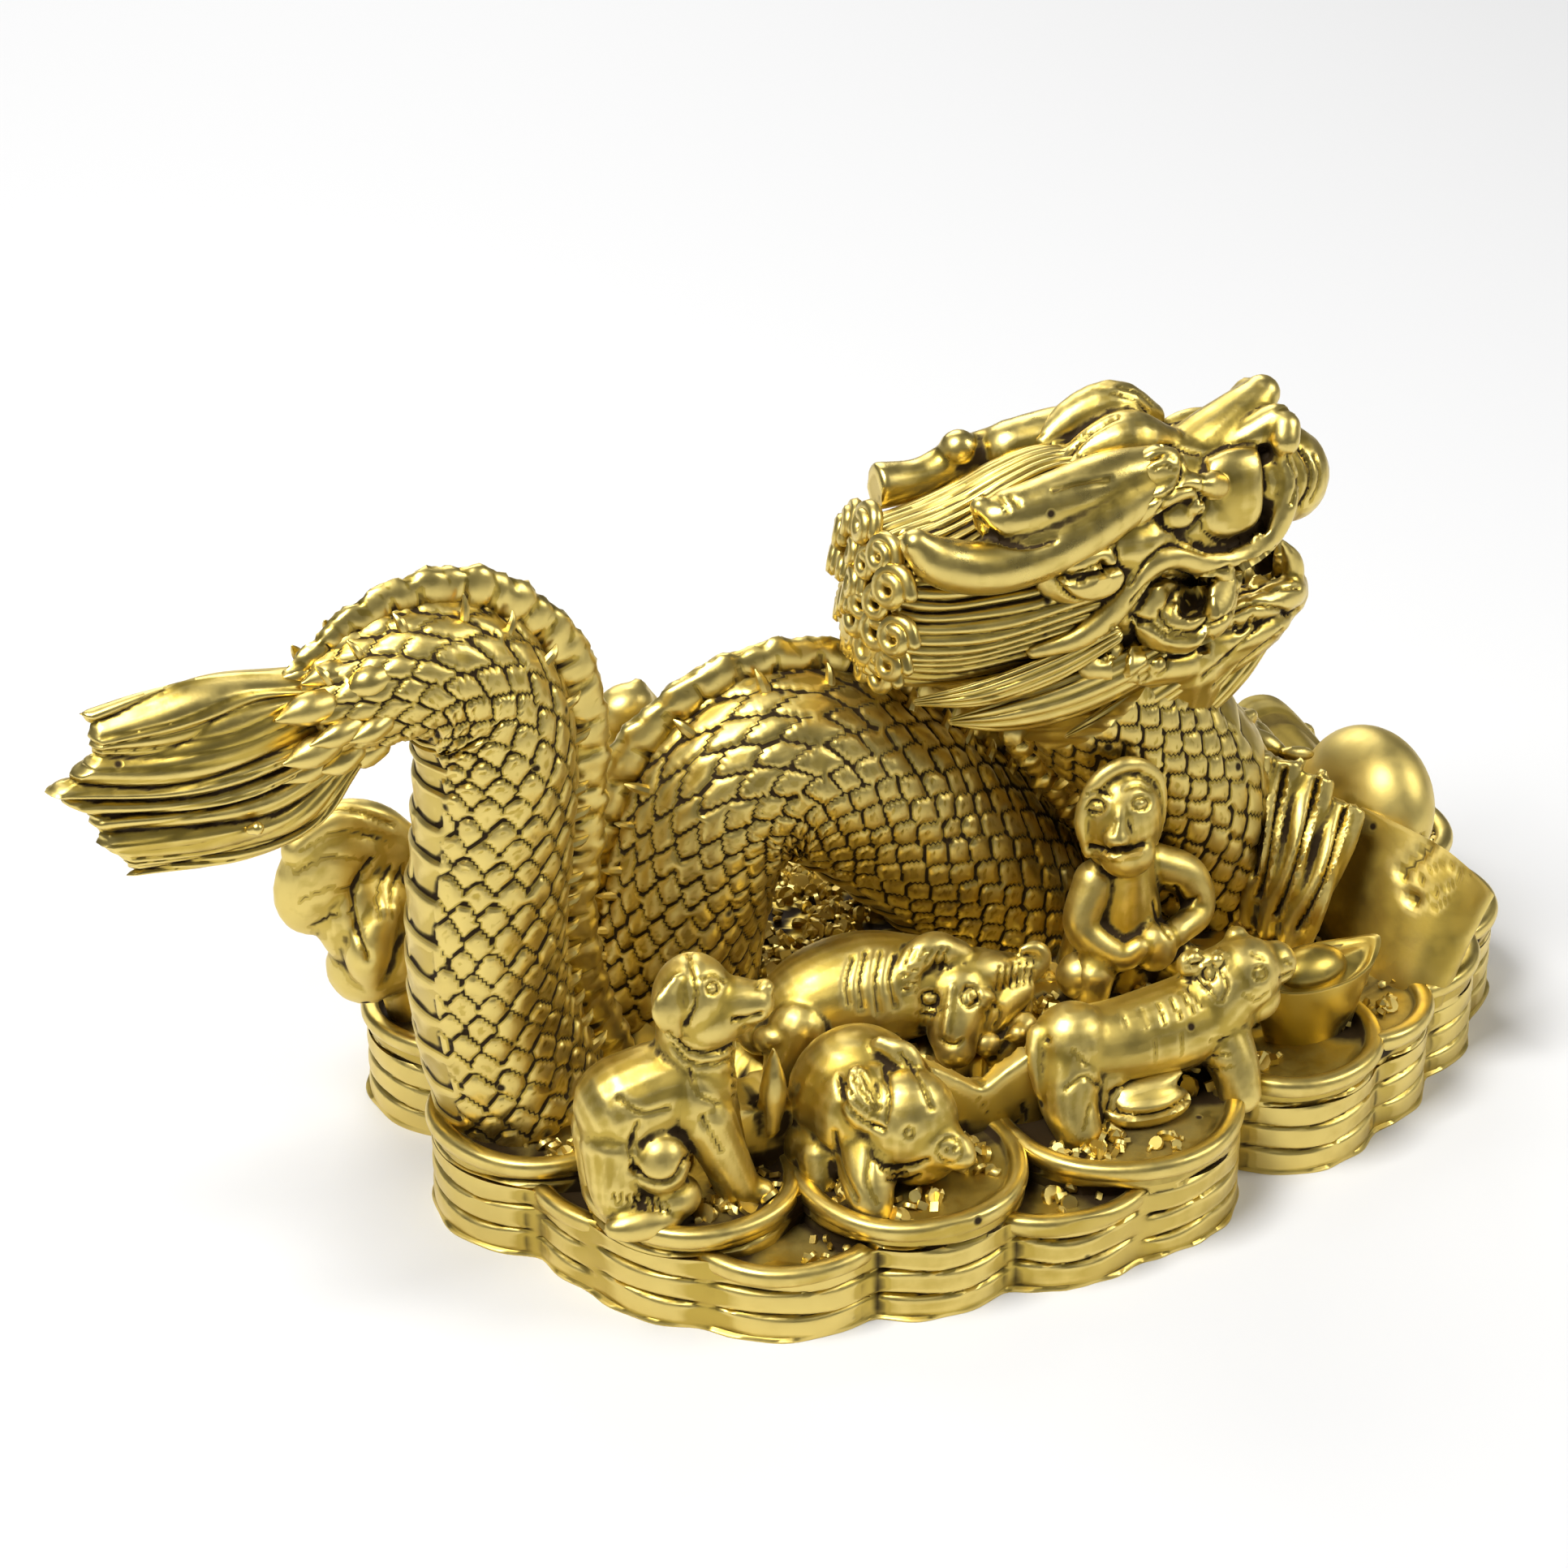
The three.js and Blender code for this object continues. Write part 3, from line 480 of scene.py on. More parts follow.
def joined(parts):
    """Several parts made into one piece, with its place at the origin."""
    choose(*parts)
    if len(parts) > 1:
        bpy.ops.object.join()
    whole = bpy.context.object
    bpy.ops.object.transform_apply(location=True, rotation=True, scale=True)
    return whole


faces = [coin_face(x, y, radius, coins) for x, y, radius, coins in STACKS]
finish_piece(sealed(joined(faces)), "coin_faces", coin_gold, smooth_angle=50, dark=0.4)


# Litter: handfuls of small coins, nuggets and chips that lie on the sunk faces, mostly along their
# rims, and heap up in the middle of the bed and under the arch of the body.
LITTER = {"kinds": 14, "bits": 10, "handfuls": 300, "spread": 2.5, "seed": 31, "in_heap": 0.45,
          "under_arch": 0.5, "least_ground": 10.6, "from_edge": 3.2, "clear": 2.4, "lift": 0.15}
chance = random.Random(LITTER["seed"])


def handful():
    bits = []
    for k in range(LITTER["bits"]):
        angle = chance.uniform(0, 2 * math.pi)
        away = LITTER["spread"] * chance.random() ** 0.5
        size = chance.uniform(0.4, 0.95)
        up = 0.5 * (1 - away / LITTER["spread"])
        place = [v * MM for v in (away * math.cos(angle), away * math.sin(angle), up)]
        turn = [chance.uniform(-1.2, 1.2), chance.uniform(-1.2, 1.2), chance.uniform(0, 3.1)]
        bpy.ops.object.select_all(action="DESELECT")
        if k % 4 == 0:
            bpy.ops.mesh.primitive_cylinder_add(vertices=10, radius=1.2 * size * MM, depth=0.45 * MM,
                                                location=place, rotation=turn)
        elif k % 4 == 1:
            bpy.ops.mesh.primitive_cube_add(size=1.5 * size * MM, location=place, rotation=turn,
                                            scale=(1, 0.8, 0.45))
        else:
            bpy.ops.mesh.primitive_ico_sphere_add(
                subdivisions=1, radius=size * MM, location=place, rotation=turn,
                scale=(1, chance.uniform(0.5, 1), chance.uniform(0.5, 0.9)))
        bits.append(bpy.context.object)
    return joined(bits)


handfuls = [handful() for k in range(LITTER["kinds"])]
while len(handfuls) < LITTER["handfuls"]:
    if chance.random() < LITTER["in_heap"]:
        angle, reach = chance.uniform(0, 2 * math.pi), chance.uniform(0.1, 1.0) ** 0.5
        x, y = MOUND["half_length"] * reach * math.cos(angle), MOUND["half_width"] * reach * math.sin(angle)
        if chance.random() < LITTER["under_arch"]:
            x, y = chance.uniform(-24, 6), chance.uniform(-20, 20)
        ground = max(float(top_of_bed(np.array([x]), np.array([y]))[0]), LITTER["least_ground"])
    else:
        x, y, radius, coins = chance.choice(STACKS[:10] + STACKS)
        angle = chance.uniform(0, 2 * math.pi)
        reach = (radius - LITTER["from_edge"]) * chance.uniform(0.55, 1.0)
        x, y = x + reach * math.cos(angle), y + reach * math.sin(angle)
        over = [n for ox, oy, other, n in STACKS if math.hypot(x - ox, y - oy) < other - LITTER["clear"]]
        near = [n for ox, oy, other, n in STACKS if math.hypot(x - ox, y - oy) < other]
        if len(near) > len(over):
            continue
        ground = max(over) * COIN["thickness"] - COIN["recess"]
    choose(handfuls[len(handfuls) % LITTER["kinds"]])
    bpy.ops.object.duplicate()
    copy = bpy.context.object
    copy.location = (x * MM, y * MM, (ground + LITTER["lift"]) * MM)
    copy.rotation_euler = (0, 0, chance.uniform(0, 2 * math.pi))
    copy.scale = [chance.uniform(0.8, 1.25)] * 3
    handfuls.append(copy)
choose(*handfuls[:LITTER["kinds"]])
bpy.ops.object.delete()
finish_piece(joined(handfuls[LITTER["kinds"]:]), "litter", coin_gold, smooth_angle=40)


# The tail, the hump and the neck are three stretches of one scaly body. Each has overlapping
# scales whose tips point to the tail, broad plates under its belly, and a toothed crest.
BODY = {
    "tail": {
        "line": [(-76.7, -16, 64.3, 4.8), (-68.1, -14, 66.5, 6.8), (-62.8, -13, 66.4, 7.8),
                 (-58.3, -12, 62.8, 8.2), (-56.4, -12, 57, 8.4), (-56.7, -12, 47.7, 8.4),
                 (-57.9, -12, 36.2, 8.4), (-57.4, -11, 24.5, 8.6), (-54.3, -10, 12, 9.4)],
        "around": 16, "pitch": 2.5, "seed": 3,
    },
    "hump": {
        "line": [(-33.5, 3, 11, 10.2), (-31.9, 3, 21, 9.8), (-29.9, 3, 30, 10), (-26.1, 3, 36.9, 10.8),
                 (-20.3, 3, 39.1, 11.3), (-12.4, 3, 35.7, 11.3), (-5.3, 3, 29.5, 11.3),
                 (1.3, 3, 23.1, 11.3), (8, 3, 13, 11.5)],
        "around": 22, "pitch": 2.35, "seed": 8,
    },
    "neck": {
        "line": [(31.8, 2, 10, 11.5), (29.1, 0, 19.6, 11), (25.6, -2, 29.9, 10.6), (19.9, -3, 37.8, 10.2),
                 (12.5, -4, 47, 9.5)],
        "around": 21, "pitch": 2.4, "seed": 14,
    },
}
SCALE = {"high": 0.6, "length": 2.7, "half_width": 0.54, "rim": 0.19, "rim_width": 0.26, "bite": 0.8,
         "point": 1.5, "keel": 0.12, "groove": 0.6, "groove_at": -0.12, "groove_width": 0.38,
         "seam": 0.3, "seam_at": 0.72, "seam_width": 0.2}
STRAY = {"aside": 0.09, "along": 0.12, "high": 0.25}
BELLY = {"from": 2.45, "pitch": 4.3, "high": 0.5}
SKIN = {"sunk": 0.35, "ridge": 0.3, "ridge_half": 1.5, "uneven": 0.12}
GRID_STEP = 0.37
COURSE_STEPS = 139
ACROSS = np.array([0.0, 1.0, 0.0])


def course(points, count):
    """Evenly spaced places along a smooth line through the points. Numbers after x, y and z, such
    as a half thickness, are carried along."""
    p = np.array(points, float)
    p = np.vstack([2 * p[0] - p[1], p, 2 * p[-1] - p[-2]])
    dense = []
    for a, b, c, d in zip(p[:-3], p[1:-2], p[2:-1], p[3:]):
        ab, bc, cd = [max(np.linalg.norm(q[:3] - o[:3]) ** 0.5, 1e-4) for o, q in ((a, b), (b, c), (c, d))]
        start = ((b - a) / ab - (c - a) / (ab + bc) + (c - b) / bc) * bc
        end = ((c - b) / bc - (d - b) / (bc + cd) + (d - c) / cd) * bc
        t = np.linspace(0, 1, 24, endpoint=False)[:, None]
        square, cube = 3 * (c - b) - 2 * start - end, 2 * (b - c) + start + end
        dense.append(b + start * t + square * t ** 2 + cube * t ** 3)
    dense = np.vstack(dense + [p[-2][None]])
    gone = np.concatenate([[0], np.cumsum(np.linalg.norm(np.diff(dense[:, :3], axis=0), axis=1))])
    wanted = np.linspace(0, gone[-1], count)
    return np.stack([np.interp(wanted, gone, dense[:, i]) for i in range(dense.shape[1])], axis=1), gone[-1]


def bearings(track, across):
    """Along, sideways and outward directions at each place of a course."""
    ahead = np.gradient(track[:, :3], axis=0)
    ahead /= np.linalg.norm(ahead, axis=1)[:, None]
    side = across - ahead * (ahead @ across)[:, None]
    side /= np.maximum(np.linalg.norm(side, axis=1), 1e-6)[:, None]
    return ahead, side, np.cross(ahead, side)


def evened_along(track, rounds=12):
    """A course with its corners taken off."""
    for _ in range(rounds):
        track = np.vstack([track[:1], (track[:-2] + 2 * track[1:-1] + track[2:]) / 4, track[-1:]])
    return track


def scale_height(gone, turn, stretch, around, pitch, seed):
    """Height of the overlapping scales, `gone` millimetres from the tail end and `turn` radians
    from the crest. Each scale is a pointed plate that is highest at its tip, with a thin rim round
    the tip and a fine groove before it."""
    chance = np.random.RandomState(seed).uniform(-1, 1, (400, around, 3))
    column = turn / (2 * math.pi) * around
    height, groove = np.zeros_like(gone), np.zeros_like(gone)
    bend = np.maximum(stretch, 1)
    first = np.floor(gone / pitch).astype(int)
    for back in range(-2, 4):
        row = first - back
        stagger = 0.5 * (row % 2)
        middle = np.round(column - stagger)
        for beside in (-1, 0, 1):
            place = middle + beside
            own = chance[row % 400, (place.astype(int)) % around]
            reach = np.abs(column - place - stagger - STRAY["aside"] * own[..., 0]) / SCALE["half_width"]
            bite = SCALE["bite"] * np.minimum(reach, 1) ** SCALE["point"]
            edge = (row + STRAY["along"] * own[..., 1] + bite) * pitch
            past = gone - edge
            real = past * stretch
            tall = SCALE["high"] / bend * (1 + STRAY["high"] * own[..., 2])
            plate = tall * (1 - past / (SCALE["length"] * pitch)) * smooth_step(real, -0.05, 0.3)
            lip = SCALE["rim"] * np.exp(-((real - SCALE["rim_width"]) / SCALE["rim_width"]) ** 2)
            seam = SCALE["seam"] * np.exp(-((real - SCALE["seam_at"]) / SCALE["seam_width"]) ** 2)
            keel = SCALE["keel"] * (1 - reach ** 2) - seam
            found = (past >= 0) & (reach < 1) & (past < SCALE["length"] * pitch)
            height = np.where(found, np.maximum(height, plate + lip + keel), height)
            before = (past < 0) & (reach < 1.02) & (real > -0.9 * bend)
            cut = np.exp(-((real / bend - SCALE["groove_at"]) / SCALE["groove_width"]) ** 2)
            groove = np.where(before, np.maximum(groove, cut), groove)
    return height - SCALE["groove"] * bend * groove


def body_stretch(name, line, around, pitch, seed, material):
    """One stretch of the body. Its rows lie closer where it bends, which keeps the grid as fine on
    the outer side of the bend as elsewhere."""
    coarse, length = course(line, COURSE_STEPS + 1)
    outward = bearings(coarse, ACROSS)[2]
    steps = np.linalg.norm(np.diff(coarse[:, :3] + outward * coarse[:, 3:4], axis=0), axis=1)
    spread = np.concatenate([[0], np.cumsum(np.maximum(steps, length / COURSE_STEPS))])
    rows = int(spread[-1] / GRID_STEP)
    columns = int(2 * math.pi * coarse[:, 3].mean() / GRID_STEP)
    gone_by = np.linspace(0, length, COURSE_STEPS + 1)
    places = np.interp(np.linspace(0, spread[-1], rows + 1), spread, gone_by)
    track = np.stack([np.interp(places, gone_by, coarse[:, i]) for i in range(4)], axis=1)
    stretched = np.interp(places, np.linspace(0, length, COURSE_STEPS), steps) / (length / COURSE_STEPS)
    side, outward = bearings(evened_along(track), ACROSS)[1:]

    def lay(row, column):
        i = np.round(row * rows).astype(int)
        turn = (column * 2 - 1) * math.pi
        turn = np.where(column > 0.9999, -math.pi, turn)
        gone = places[i]
        radius = track[i, 3]
        stretch = np.maximum(1 + (stretched[i] - 1) * np.cos(turn), 0.35)
        scales = scale_height(gone, turn, stretch, around, pitch, seed)
        bands = BELLY["high"] * (1 - np.mod(gone + 0.4 * np.cos(turn), BELLY["pitch"]) / BELLY["pitch"])
        under = np.abs(turn) - BELLY["from"]
        relief = np.maximum(scales * (under < 0.05), bands * smooth_step(under, -0.05, 0.02))
        reach = radius - SKIN["sunk"] + relief
        reach = reach + SKIN["ridge"] * np.exp(-(turn * radius / SKIN["ridge_half"]) ** 2)
        reach = reach + SKIN["uneven"] * ripple(gone, turn * radius, 0 * gone, 9, seed)
        out = outward[i] * np.cos(turn)[:, None] - side[i] * np.sin(turn)[:, None]
        return track[i, :3] + reach[:, None] * out

    piece = sealed(wrapped(rows, columns, lay))
    move_to(piece, evened(places_of(piece), edges_of(piece), 1))
    return finish_piece(piece, name, material, smooth_angle=70, dark=1.6, broad=0.3)


scale_gold = gold_paint("gold on the scales", polish=0.39, pits=0.8)
for stretch, sizes in BODY.items():
    body_stretch(stretch + "_body", sizes["line"], sizes["around"], sizes["pitch"], sizes["seed"],
                 scale_gold)


# The crest: a low wavy fin along the spine with narrow wedges cut into its sides, and a row of
# short pointed spikes at its foot. Between tail and hump the two fins nearly meet.
CREST = {
    "tail": {"seed": 1, "heights": [(0, 1.0), (0.1, 2.4), (0.25, 3.6), (0.4, 3.9), (1, 3.9)]},
    "hump": {"seed": 2, "heights": [(0, 4.2), (0.3, 4.2), (0.42, 3.2), (0.6, 2.8), (1, 2.2)]},
    "neck": {"seed": 3, "heights": [(0, 2.2), (1, 2.2)]},
}
CREST_SHAPE = {"sunk": 1.6, "thick": 1.5, "pitch": 3.2, "wedge": 0.4, "wave": 0.35, "step": 0.36,
               "around": 28, "course": 119}
SPIKE = {"pitch": 3.6, "aside": 3.3, "tall": 1.3, "thick": 0.62}
CAP_RINGS = 4


def limb(line, sides=14, rings=12, flat=1.0, across=ACROSS, relief=None, blunt=(True, True)):
    """A round bar along `line`, whose points are x, y, z and half thickness, with round ends.
    `flat` thins it along `across`; `relief` gives extra height from the place along and round."""
    track = course(line, rings + 1)[0]
    ahead, side, outward = bearings(track, np.array(across, float))
    turns = np.arange(CAP_RINGS) / CAP_RINGS * math.pi / 2
    ends = []
    for k, way, round_end in ((0, -1, blunt[0]), (rings, 1, blunt[1])):
        step = track[k, 3] * np.cos(turns) * way * round_end
        ends.append((track[k, :3] + ahead[k] * step[:, None], track[k, 3] * np.sin(turns)))
    middle = np.vstack([ends[0][0], track[:, :3], ends[1][0][::-1]])
    reach = np.concatenate([ends[0][1], track[:, 3], ends[1][1][::-1]])
    nearest = np.concatenate([[0] * CAP_RINGS, np.arange(rings + 1), [rings] * CAP_RINGS]).astype(int)
    last = len(middle) - 1

    def lay(row, column):
        i = np.round(row * last).astype(int)
        k = nearest[i]
        turn = np.where(column > 0.9999, 0, column) * 2 * math.pi
        far = reach[i].copy()
        if relief is not None:
            far = far + relief(k / rings, turn) * np.minimum(reach[i], 1)
        out = outward[k] * np.cos(turn)[:, None] - side[k] * (flat * np.sin(turn))[:, None]
        return middle[i] + far[:, None] * out

    return wrapped(last, sides, lay)


def crest(line, heights, seed):
    track, length = course(line, CREST_SHAPE["course"] + 1)
    ahead, side, outward = bearings(track, ACROSS)
    share = np.linspace(0, 1, len(track))
    tall = np.interp(share, [h[0] for h in heights], [h[1] for h in heights])
    half = (tall + CREST_SHAPE["sunk"]) / 2
    core = track[:, :3] + outward * (track[:, 3] + tall - half)[:, None]
    fin_line = np.column_stack([core, half])

    def relief(along, turn):
        gone = along * length
        height = (np.cos(turn) + 1) / 2
        shift = 0.12 * np.sin(gone + seed) + 0.25 * (turn > 0)
        phase = np.abs(np.mod(gone / CREST_SHAPE["pitch"] + shift, 1) - 0.5)
        wedge = smooth_step(0.26 * (1 - height) - phase, -0.04, 0.04) * smooth_step(0.86 - height, 0, 0.1)
        wave = ripple(gone, 0 * gone, 0 * gone, 5, seed) + 0.5 * ripple(gone, turn, 0 * gone, 1.7, seed + 2)
        return CREST_SHAPE["wave"] * wave * height ** 2 - CREST_SHAPE["wedge"] * wedge

    thin = CREST_SHAPE["thick"] / half.mean()
    rings = int(length / CREST_SHAPE["step"])
    parts = [limb(fin_line, sides=CREST_SHAPE["around"], rings=rings, flat=thin, relief=relief)]
    chance = random.Random(seed)
    for k in range(1, int(length / SPIKE["pitch"])):
        i = int((k * SPIKE["pitch"] + chance.uniform(-0.4, 0.4)) / length * CREST_SHAPE["course"])
        for way in (-1, 1):
            turn = way * SPIKE["aside"] / track[i, 3]
            out = outward[i] * math.cos(turn) - side[i] * math.sin(turn)
            up = outward[i] * math.cos(turn * 0.6) - side[i] * math.sin(turn * 0.6)
            root = track[i, :3] + out * (track[i, 3] - 0.3)
            rise = SPIKE["tall"] * chance.uniform(0.7, 1.3)
            tip = track[i, :3] + up * (track[i, 3] + rise) - ahead[i] * 0.5
            wide = SPIKE["thick"] * chance.uniform(0.8, 1.2)
            middle = 0.5 * (root + tip) + out * 0.3
            parts.append(limb([(*root, wide), (*middle, wide * 0.8), (*tip, 0.14)], sides=8, rings=4,
                              across=ahead[i]))
    return joined(parts)


crests = [crest(BODY[stretch]["line"], **CREST[stretch]) for stretch in CREST]
crest_gold = gold_paint("gold on the crest", polish=0.34)
finish_piece(sealed(joined(crests)), "spine_crest", crest_gold, smooth_angle=40)


# The tail fin: a flat brush of combed rays that sweeps out from the end of the tail and breaks
# off in blunt ragged tips. A collar of pointed leaves covers the place where it grows.
FIN_RAYS = [
    [(-75.6, -15, 69.2), (-85.9, -16.6, 71.4), (-92.9, -17.4, 71.2), (-99.0, -17.6, 70.2)],
    [(-75.2, -15.4, 68.0), (-85.4, -18, 68.7), (-93.1, -18.4, 68.1), (-98.4, -18.4, 67.4)],
    [(-75.0, -15.8, 65.9), (-85.6, -18.6, 65.7), (-93.3, -19, 65.1), (-99.4, -18.8, 65.4)],
    [(-74.4, -16, 63.7), (-84.4, -18.8, 62.8), (-91.8, -19.2, 62.1), (-103.4, -19, 63.1)],
    [(-73.8, -16, 61.9), (-82.8, -18.6, 59.8), (-90.2, -19.2, 59.2), (-99.4, -18.8, 59.5)],
    [(-73.2, -16, 60.5), (-80.4, -18.4, 56.9), (-87.9, -19, 56.2), (-98.8, -18.8, 56.4)],
    [(-72.2, -15.8, 59.5), (-77.6, -17.8, 54.8), (-85.1, -18.6, 53.6), (-96.2, -18.6, 54.0)],
    [(-71.0, -15.6, 59.0), (-75.7, -17.2, 54.1), (-83.8, -18.2, 51.7), (-96.0, -18.4, 51.8)],
]
FIN = {"rows": 84, "across": 112, "thick": 2.7, "folds": 7.5, "fold": 0.9, "rays": 17,
       "furrow": 0.3, "ragged": 1.5, "course": 59}
# The collar's rings of leaves: how far back each stands and how far its leaves lift off
COLLAR = {"rings": ((0, 0.3), (3.0, 0.8), (5.6, 1.0)), "leaves": 7, "reach": 5.4}


def combed(amount, furrows, seed=0.0, sway=1.2):
    """Rounded strands with sharp furrows between them, along a lock of hair or a ray of the fin."""
    def relief(along, turn):
        bend = seed + sway * np.sin(along * 5 + seed)
        return amount * (np.abs(np.cos(turn * furrows / 2 + bend)) ** 0.6 - 1)

    return relief


def lay_fin(row, column):
    rays = np.array([course(ray, FIN["course"] + 1)[0] for ray in FIN_RAYS])
    steps = len(FIN_RAYS) - 1
    behind = column > 0.5
    share = np.clip(np.where(behind, 2 - 2 * column, 2 * column), 0, 1)
    bunch = share * FIN["folds"] + 0.35 * np.sin(share * 11 + 0.6) + 0.3 * np.sin(row * 4 + share * 7)
    fold = np.abs(np.cos(math.pi * bunch))
    short = FIN["ragged"] * (0.75 * (1 - fold) ** 2 + 0.25 * np.sin(share * 57) ** 2)
    gone = row * (1 - 0.028 * short * smooth_step(row, 0.75, 1.0))
    at = share * steps
    low = np.minimum(at.astype(int), steps - 1)
    mix = smooth_step(at - low, 0, 1) * 0.35 + (at - low) * 0.65
    k = np.clip(gone * FIN["course"], 0, FIN["course"] - 0.001)
    near = k.astype(int)
    part = (k - near)[:, None]

    def on(ray):
        return rays[ray, near] * (1 - part) + rays[ray, near + 1] * part

    place = on(low) * (1 - mix)[:, None] + on(low + 1) * mix[:, None]
    edge = np.sqrt(np.clip(1 - (2 * share - 1) ** 8, 0, 1))
    thick = FIN["thick"] * edge * (1 - 0.42 * smooth_step(row, 0.35, 1.0))
    thick = thick * np.sqrt(np.clip((1 - row) * 30, 0, 1))
    strand = np.abs(np.cos(math.pi * (share * FIN["rays"] + 0.5 * np.sin(row * 5 + share * 9)))) ** 0.6
    grow = smooth_step(row, 0.02, 0.3)
    comb = FIN["fold"] * (fold ** 0.8 - 1) * grow
    comb = comb + FIN["furrow"] * (strand - 1) * (0.4 + 0.6 * np.sin(share * 9) ** 2)
    face = np.maximum(thick + comb * np.minimum(thick, 1.0), 0)
    place[:, 1] += np.where(behind, face, -face)
    return place


fin = wrapped(FIN["rows"], 2 * FIN["across"], lay_fin)
leaves = [limb([(-84, -21.6, 56.4, 0.5), (-83.4, -21.9, 56.6, 0.7)], sides=10, rings=4)]
chance = random.Random(5)
for ring, (back, grow) in enumerate(COLLAR["rings"]):
    for k in range(COLLAR["leaves"]):
        turn = 2 * math.pi * (k + 0.5 * (ring % 2)) / COLLAR["leaves"] + chance.uniform(-0.2, 0.2)
        out = np.array([0.0, math.sin(turn), math.cos(turn)])
        middle = np.array([-69.6 - back, -14.6 - 0.25 * back, 65.6 - 0.2 * back])
        root = middle + out * (COLLAR["reach"] - 0.25 * back)
        sweep = np.array([-chance.uniform(3.6, 5.4), -0.8, -0.6])
        tip = root + sweep + out * (grow + chance.uniform(-0.5, 0.7))
        wide = chance.uniform(0.9, 1.5)
        belly = 0.55 * root + 0.45 * tip + 0.3 * out
        leaves.append(limb([(*root, wide), (*belly, wide), (*tip, 0.16)], sides=10, rings=6, flat=1.15,
                           relief=lambda along, turn: 0.3 * np.abs(np.cos(turn)) ** 4))
fin_gold = gold_paint("gold on the tail fin", polish=0.34, pits=0.45)
finish_piece(sealed(joined([fin] + leaves)), "tail_fin", fin_gold, smooth_angle=60)


# The head: skull, snout and jaws with a curled upper lip, and behind them the cheeks, ears and
# brows, run together as in a casting and then carved. What is carved on the near side is made
# again on the far side, which the photograph hides.
HEAD_MIDDLE = -4.0
FACING = np.array(backwards)


def ball(place, half, turn=(0, 0, 0), rings=12):
    """A rounded lump with three half sizes, turned by degrees."""
    bpy.ops.object.select_all(action="DESELECT")
    bpy.ops.mesh.primitive_uv_sphere_add(
        segments=2 * rings, ring_count=rings, radius=MM, location=[v * MM for v in place],
        rotation=[math.radians(v) for v in turn], scale=half)
    return bpy.context.object


def clay(parts, voxel, rounds=1):
    """Parts run together into one skin, as they are in a casting, and softened a little."""
    whole = joined(parts)
    blend = whole.modifiers.new("cast as one", "REMESH")
    blend.mode = "VOXEL"
    blend.voxel_size = voxel * MM
    bpy.ops.object.modifier_apply(modifier=blend.name)
    if rounds:
        soften = whole.modifiers.new("soften", "SMOOTH")
        soften.iterations = rounds
        soften.factor = 0.5
        bpy.ops.object.modifier_apply(modifier=soften.name)
    return whole


def across_the_head(point):
    return (point[0], 2 * HEAD_MIDDLE - point[1], *point[2:])


def drawn_line(points, step=0.2):
    """Close-set points along a smooth line of a drawing."""
    if len(points) < 2:
        return np.array(points, float)
    points = [(*p, 0.0) for p in points]
    return course(points, max(3, int(course(points, 2)[1] / step)))[0][:, :2]


def gap_to(points, line):
    """How far each point of a drawing is from a line of close-set points."""
    gap = np.full(len(points), 1e9)
    for k in range(0, len(line), 30):
        gap = np.minimum(gap, np.min(np.linalg.norm(points[:, None] - line[None, k:k + 30], axis=2), axis=1))
    return gap


def within(points, outline):
    """Which points of a drawing lie inside a closed outline."""
    inside = np.zeros(len(points), bool)
    for (ax, ay), (bx, by) in zip(outline, np.roll(outline, -1, axis=0)):
        if ay != by:
            cross = (ay > points[:, 1]) != (by > points[:, 1])
            inside ^= cross & (points[:, 0] < (bx - ax) * (points[:, 1] - ay) / (by - ay) + ax)
    return inside


# The furrow that frames a raised plate: its share of the plate's height, and where it lies
FRAME_CUT = {"share": 0.35, "out": 0.15, "width": 0.22}


def carve(piece, centre, lines=(), plates=(), facing=FACING, reach=12, mirror=None):
    """Works a drawing into a piece. The sheet faces `facing` through `centre`, right and up in
    millimetres. A line has a half width and a depth; a plate is an outline raised by a height, or
    sunk where that is below zero, with an edge of its own width. With `mirror`, the drawing is
    worked in again on the other side of that place across."""
    facing = np.array(facing, float) / np.linalg.norm(facing)
    right = np.cross((0, 0, 1), facing)
    right /= np.linalg.norm(right)
    up = np.cross(facing, right)
    places, normals = places_of(piece), normals_of(piece)
    moved = places.copy()
    for flip in ((1, -1) if mirror is not None else (1,)):
        seen, turned = places.copy(), normals.copy()
        if flip < 0:
            seen[:, 1] = 2 * mirror - seen[:, 1]
            turned[:, 1] = -turned[:, 1]
        away = seen - np.array(centre, float)
        index = np.nonzero((np.linalg.norm(away, axis=1) < reach) & (turned @ facing > 0.08))[0]
        drawn = np.stack([away[index] @ right, away[index] @ up], axis=1)
        lift = np.zeros(len(index))
        for outline, height, edge in plates:
            outline = drawn_line(list(outline) + [outline[0]])
            low, high = outline.min(0) - 1, outline.max(0) + 1
            part = np.nonzero((drawn > low).all(1) & (drawn < high).all(1))[0]
            if len(part):
                gap = gap_to(drawn[part], outline)
                inside = within(drawn[part], outline)
                lift[part] += np.where(inside, height * smooth_step(gap, -0.05, edge), 0)
                cut = np.exp(-((gap - FRAME_CUT["out"]) / FRAME_CUT["width"]) ** 2)
                lift[part] -= np.where(inside, 0, FRAME_CUT["share"] * max(height, 0) * cut)
        for line, width, depth in lines:
            line = drawn_line(line)
            low, high = line.min(0) - 3 * width, line.max(0) + 3 * width
            part = np.nonzero((drawn > low).all(1) & (drawn < high).all(1))[0]
            if len(part):
                lift[part] -= depth * np.exp(-(gap_to(drawn[part], line) / width) ** 2)
        moved[index] += normals[index] * lift[:, None]
    move_to(piece, moved)


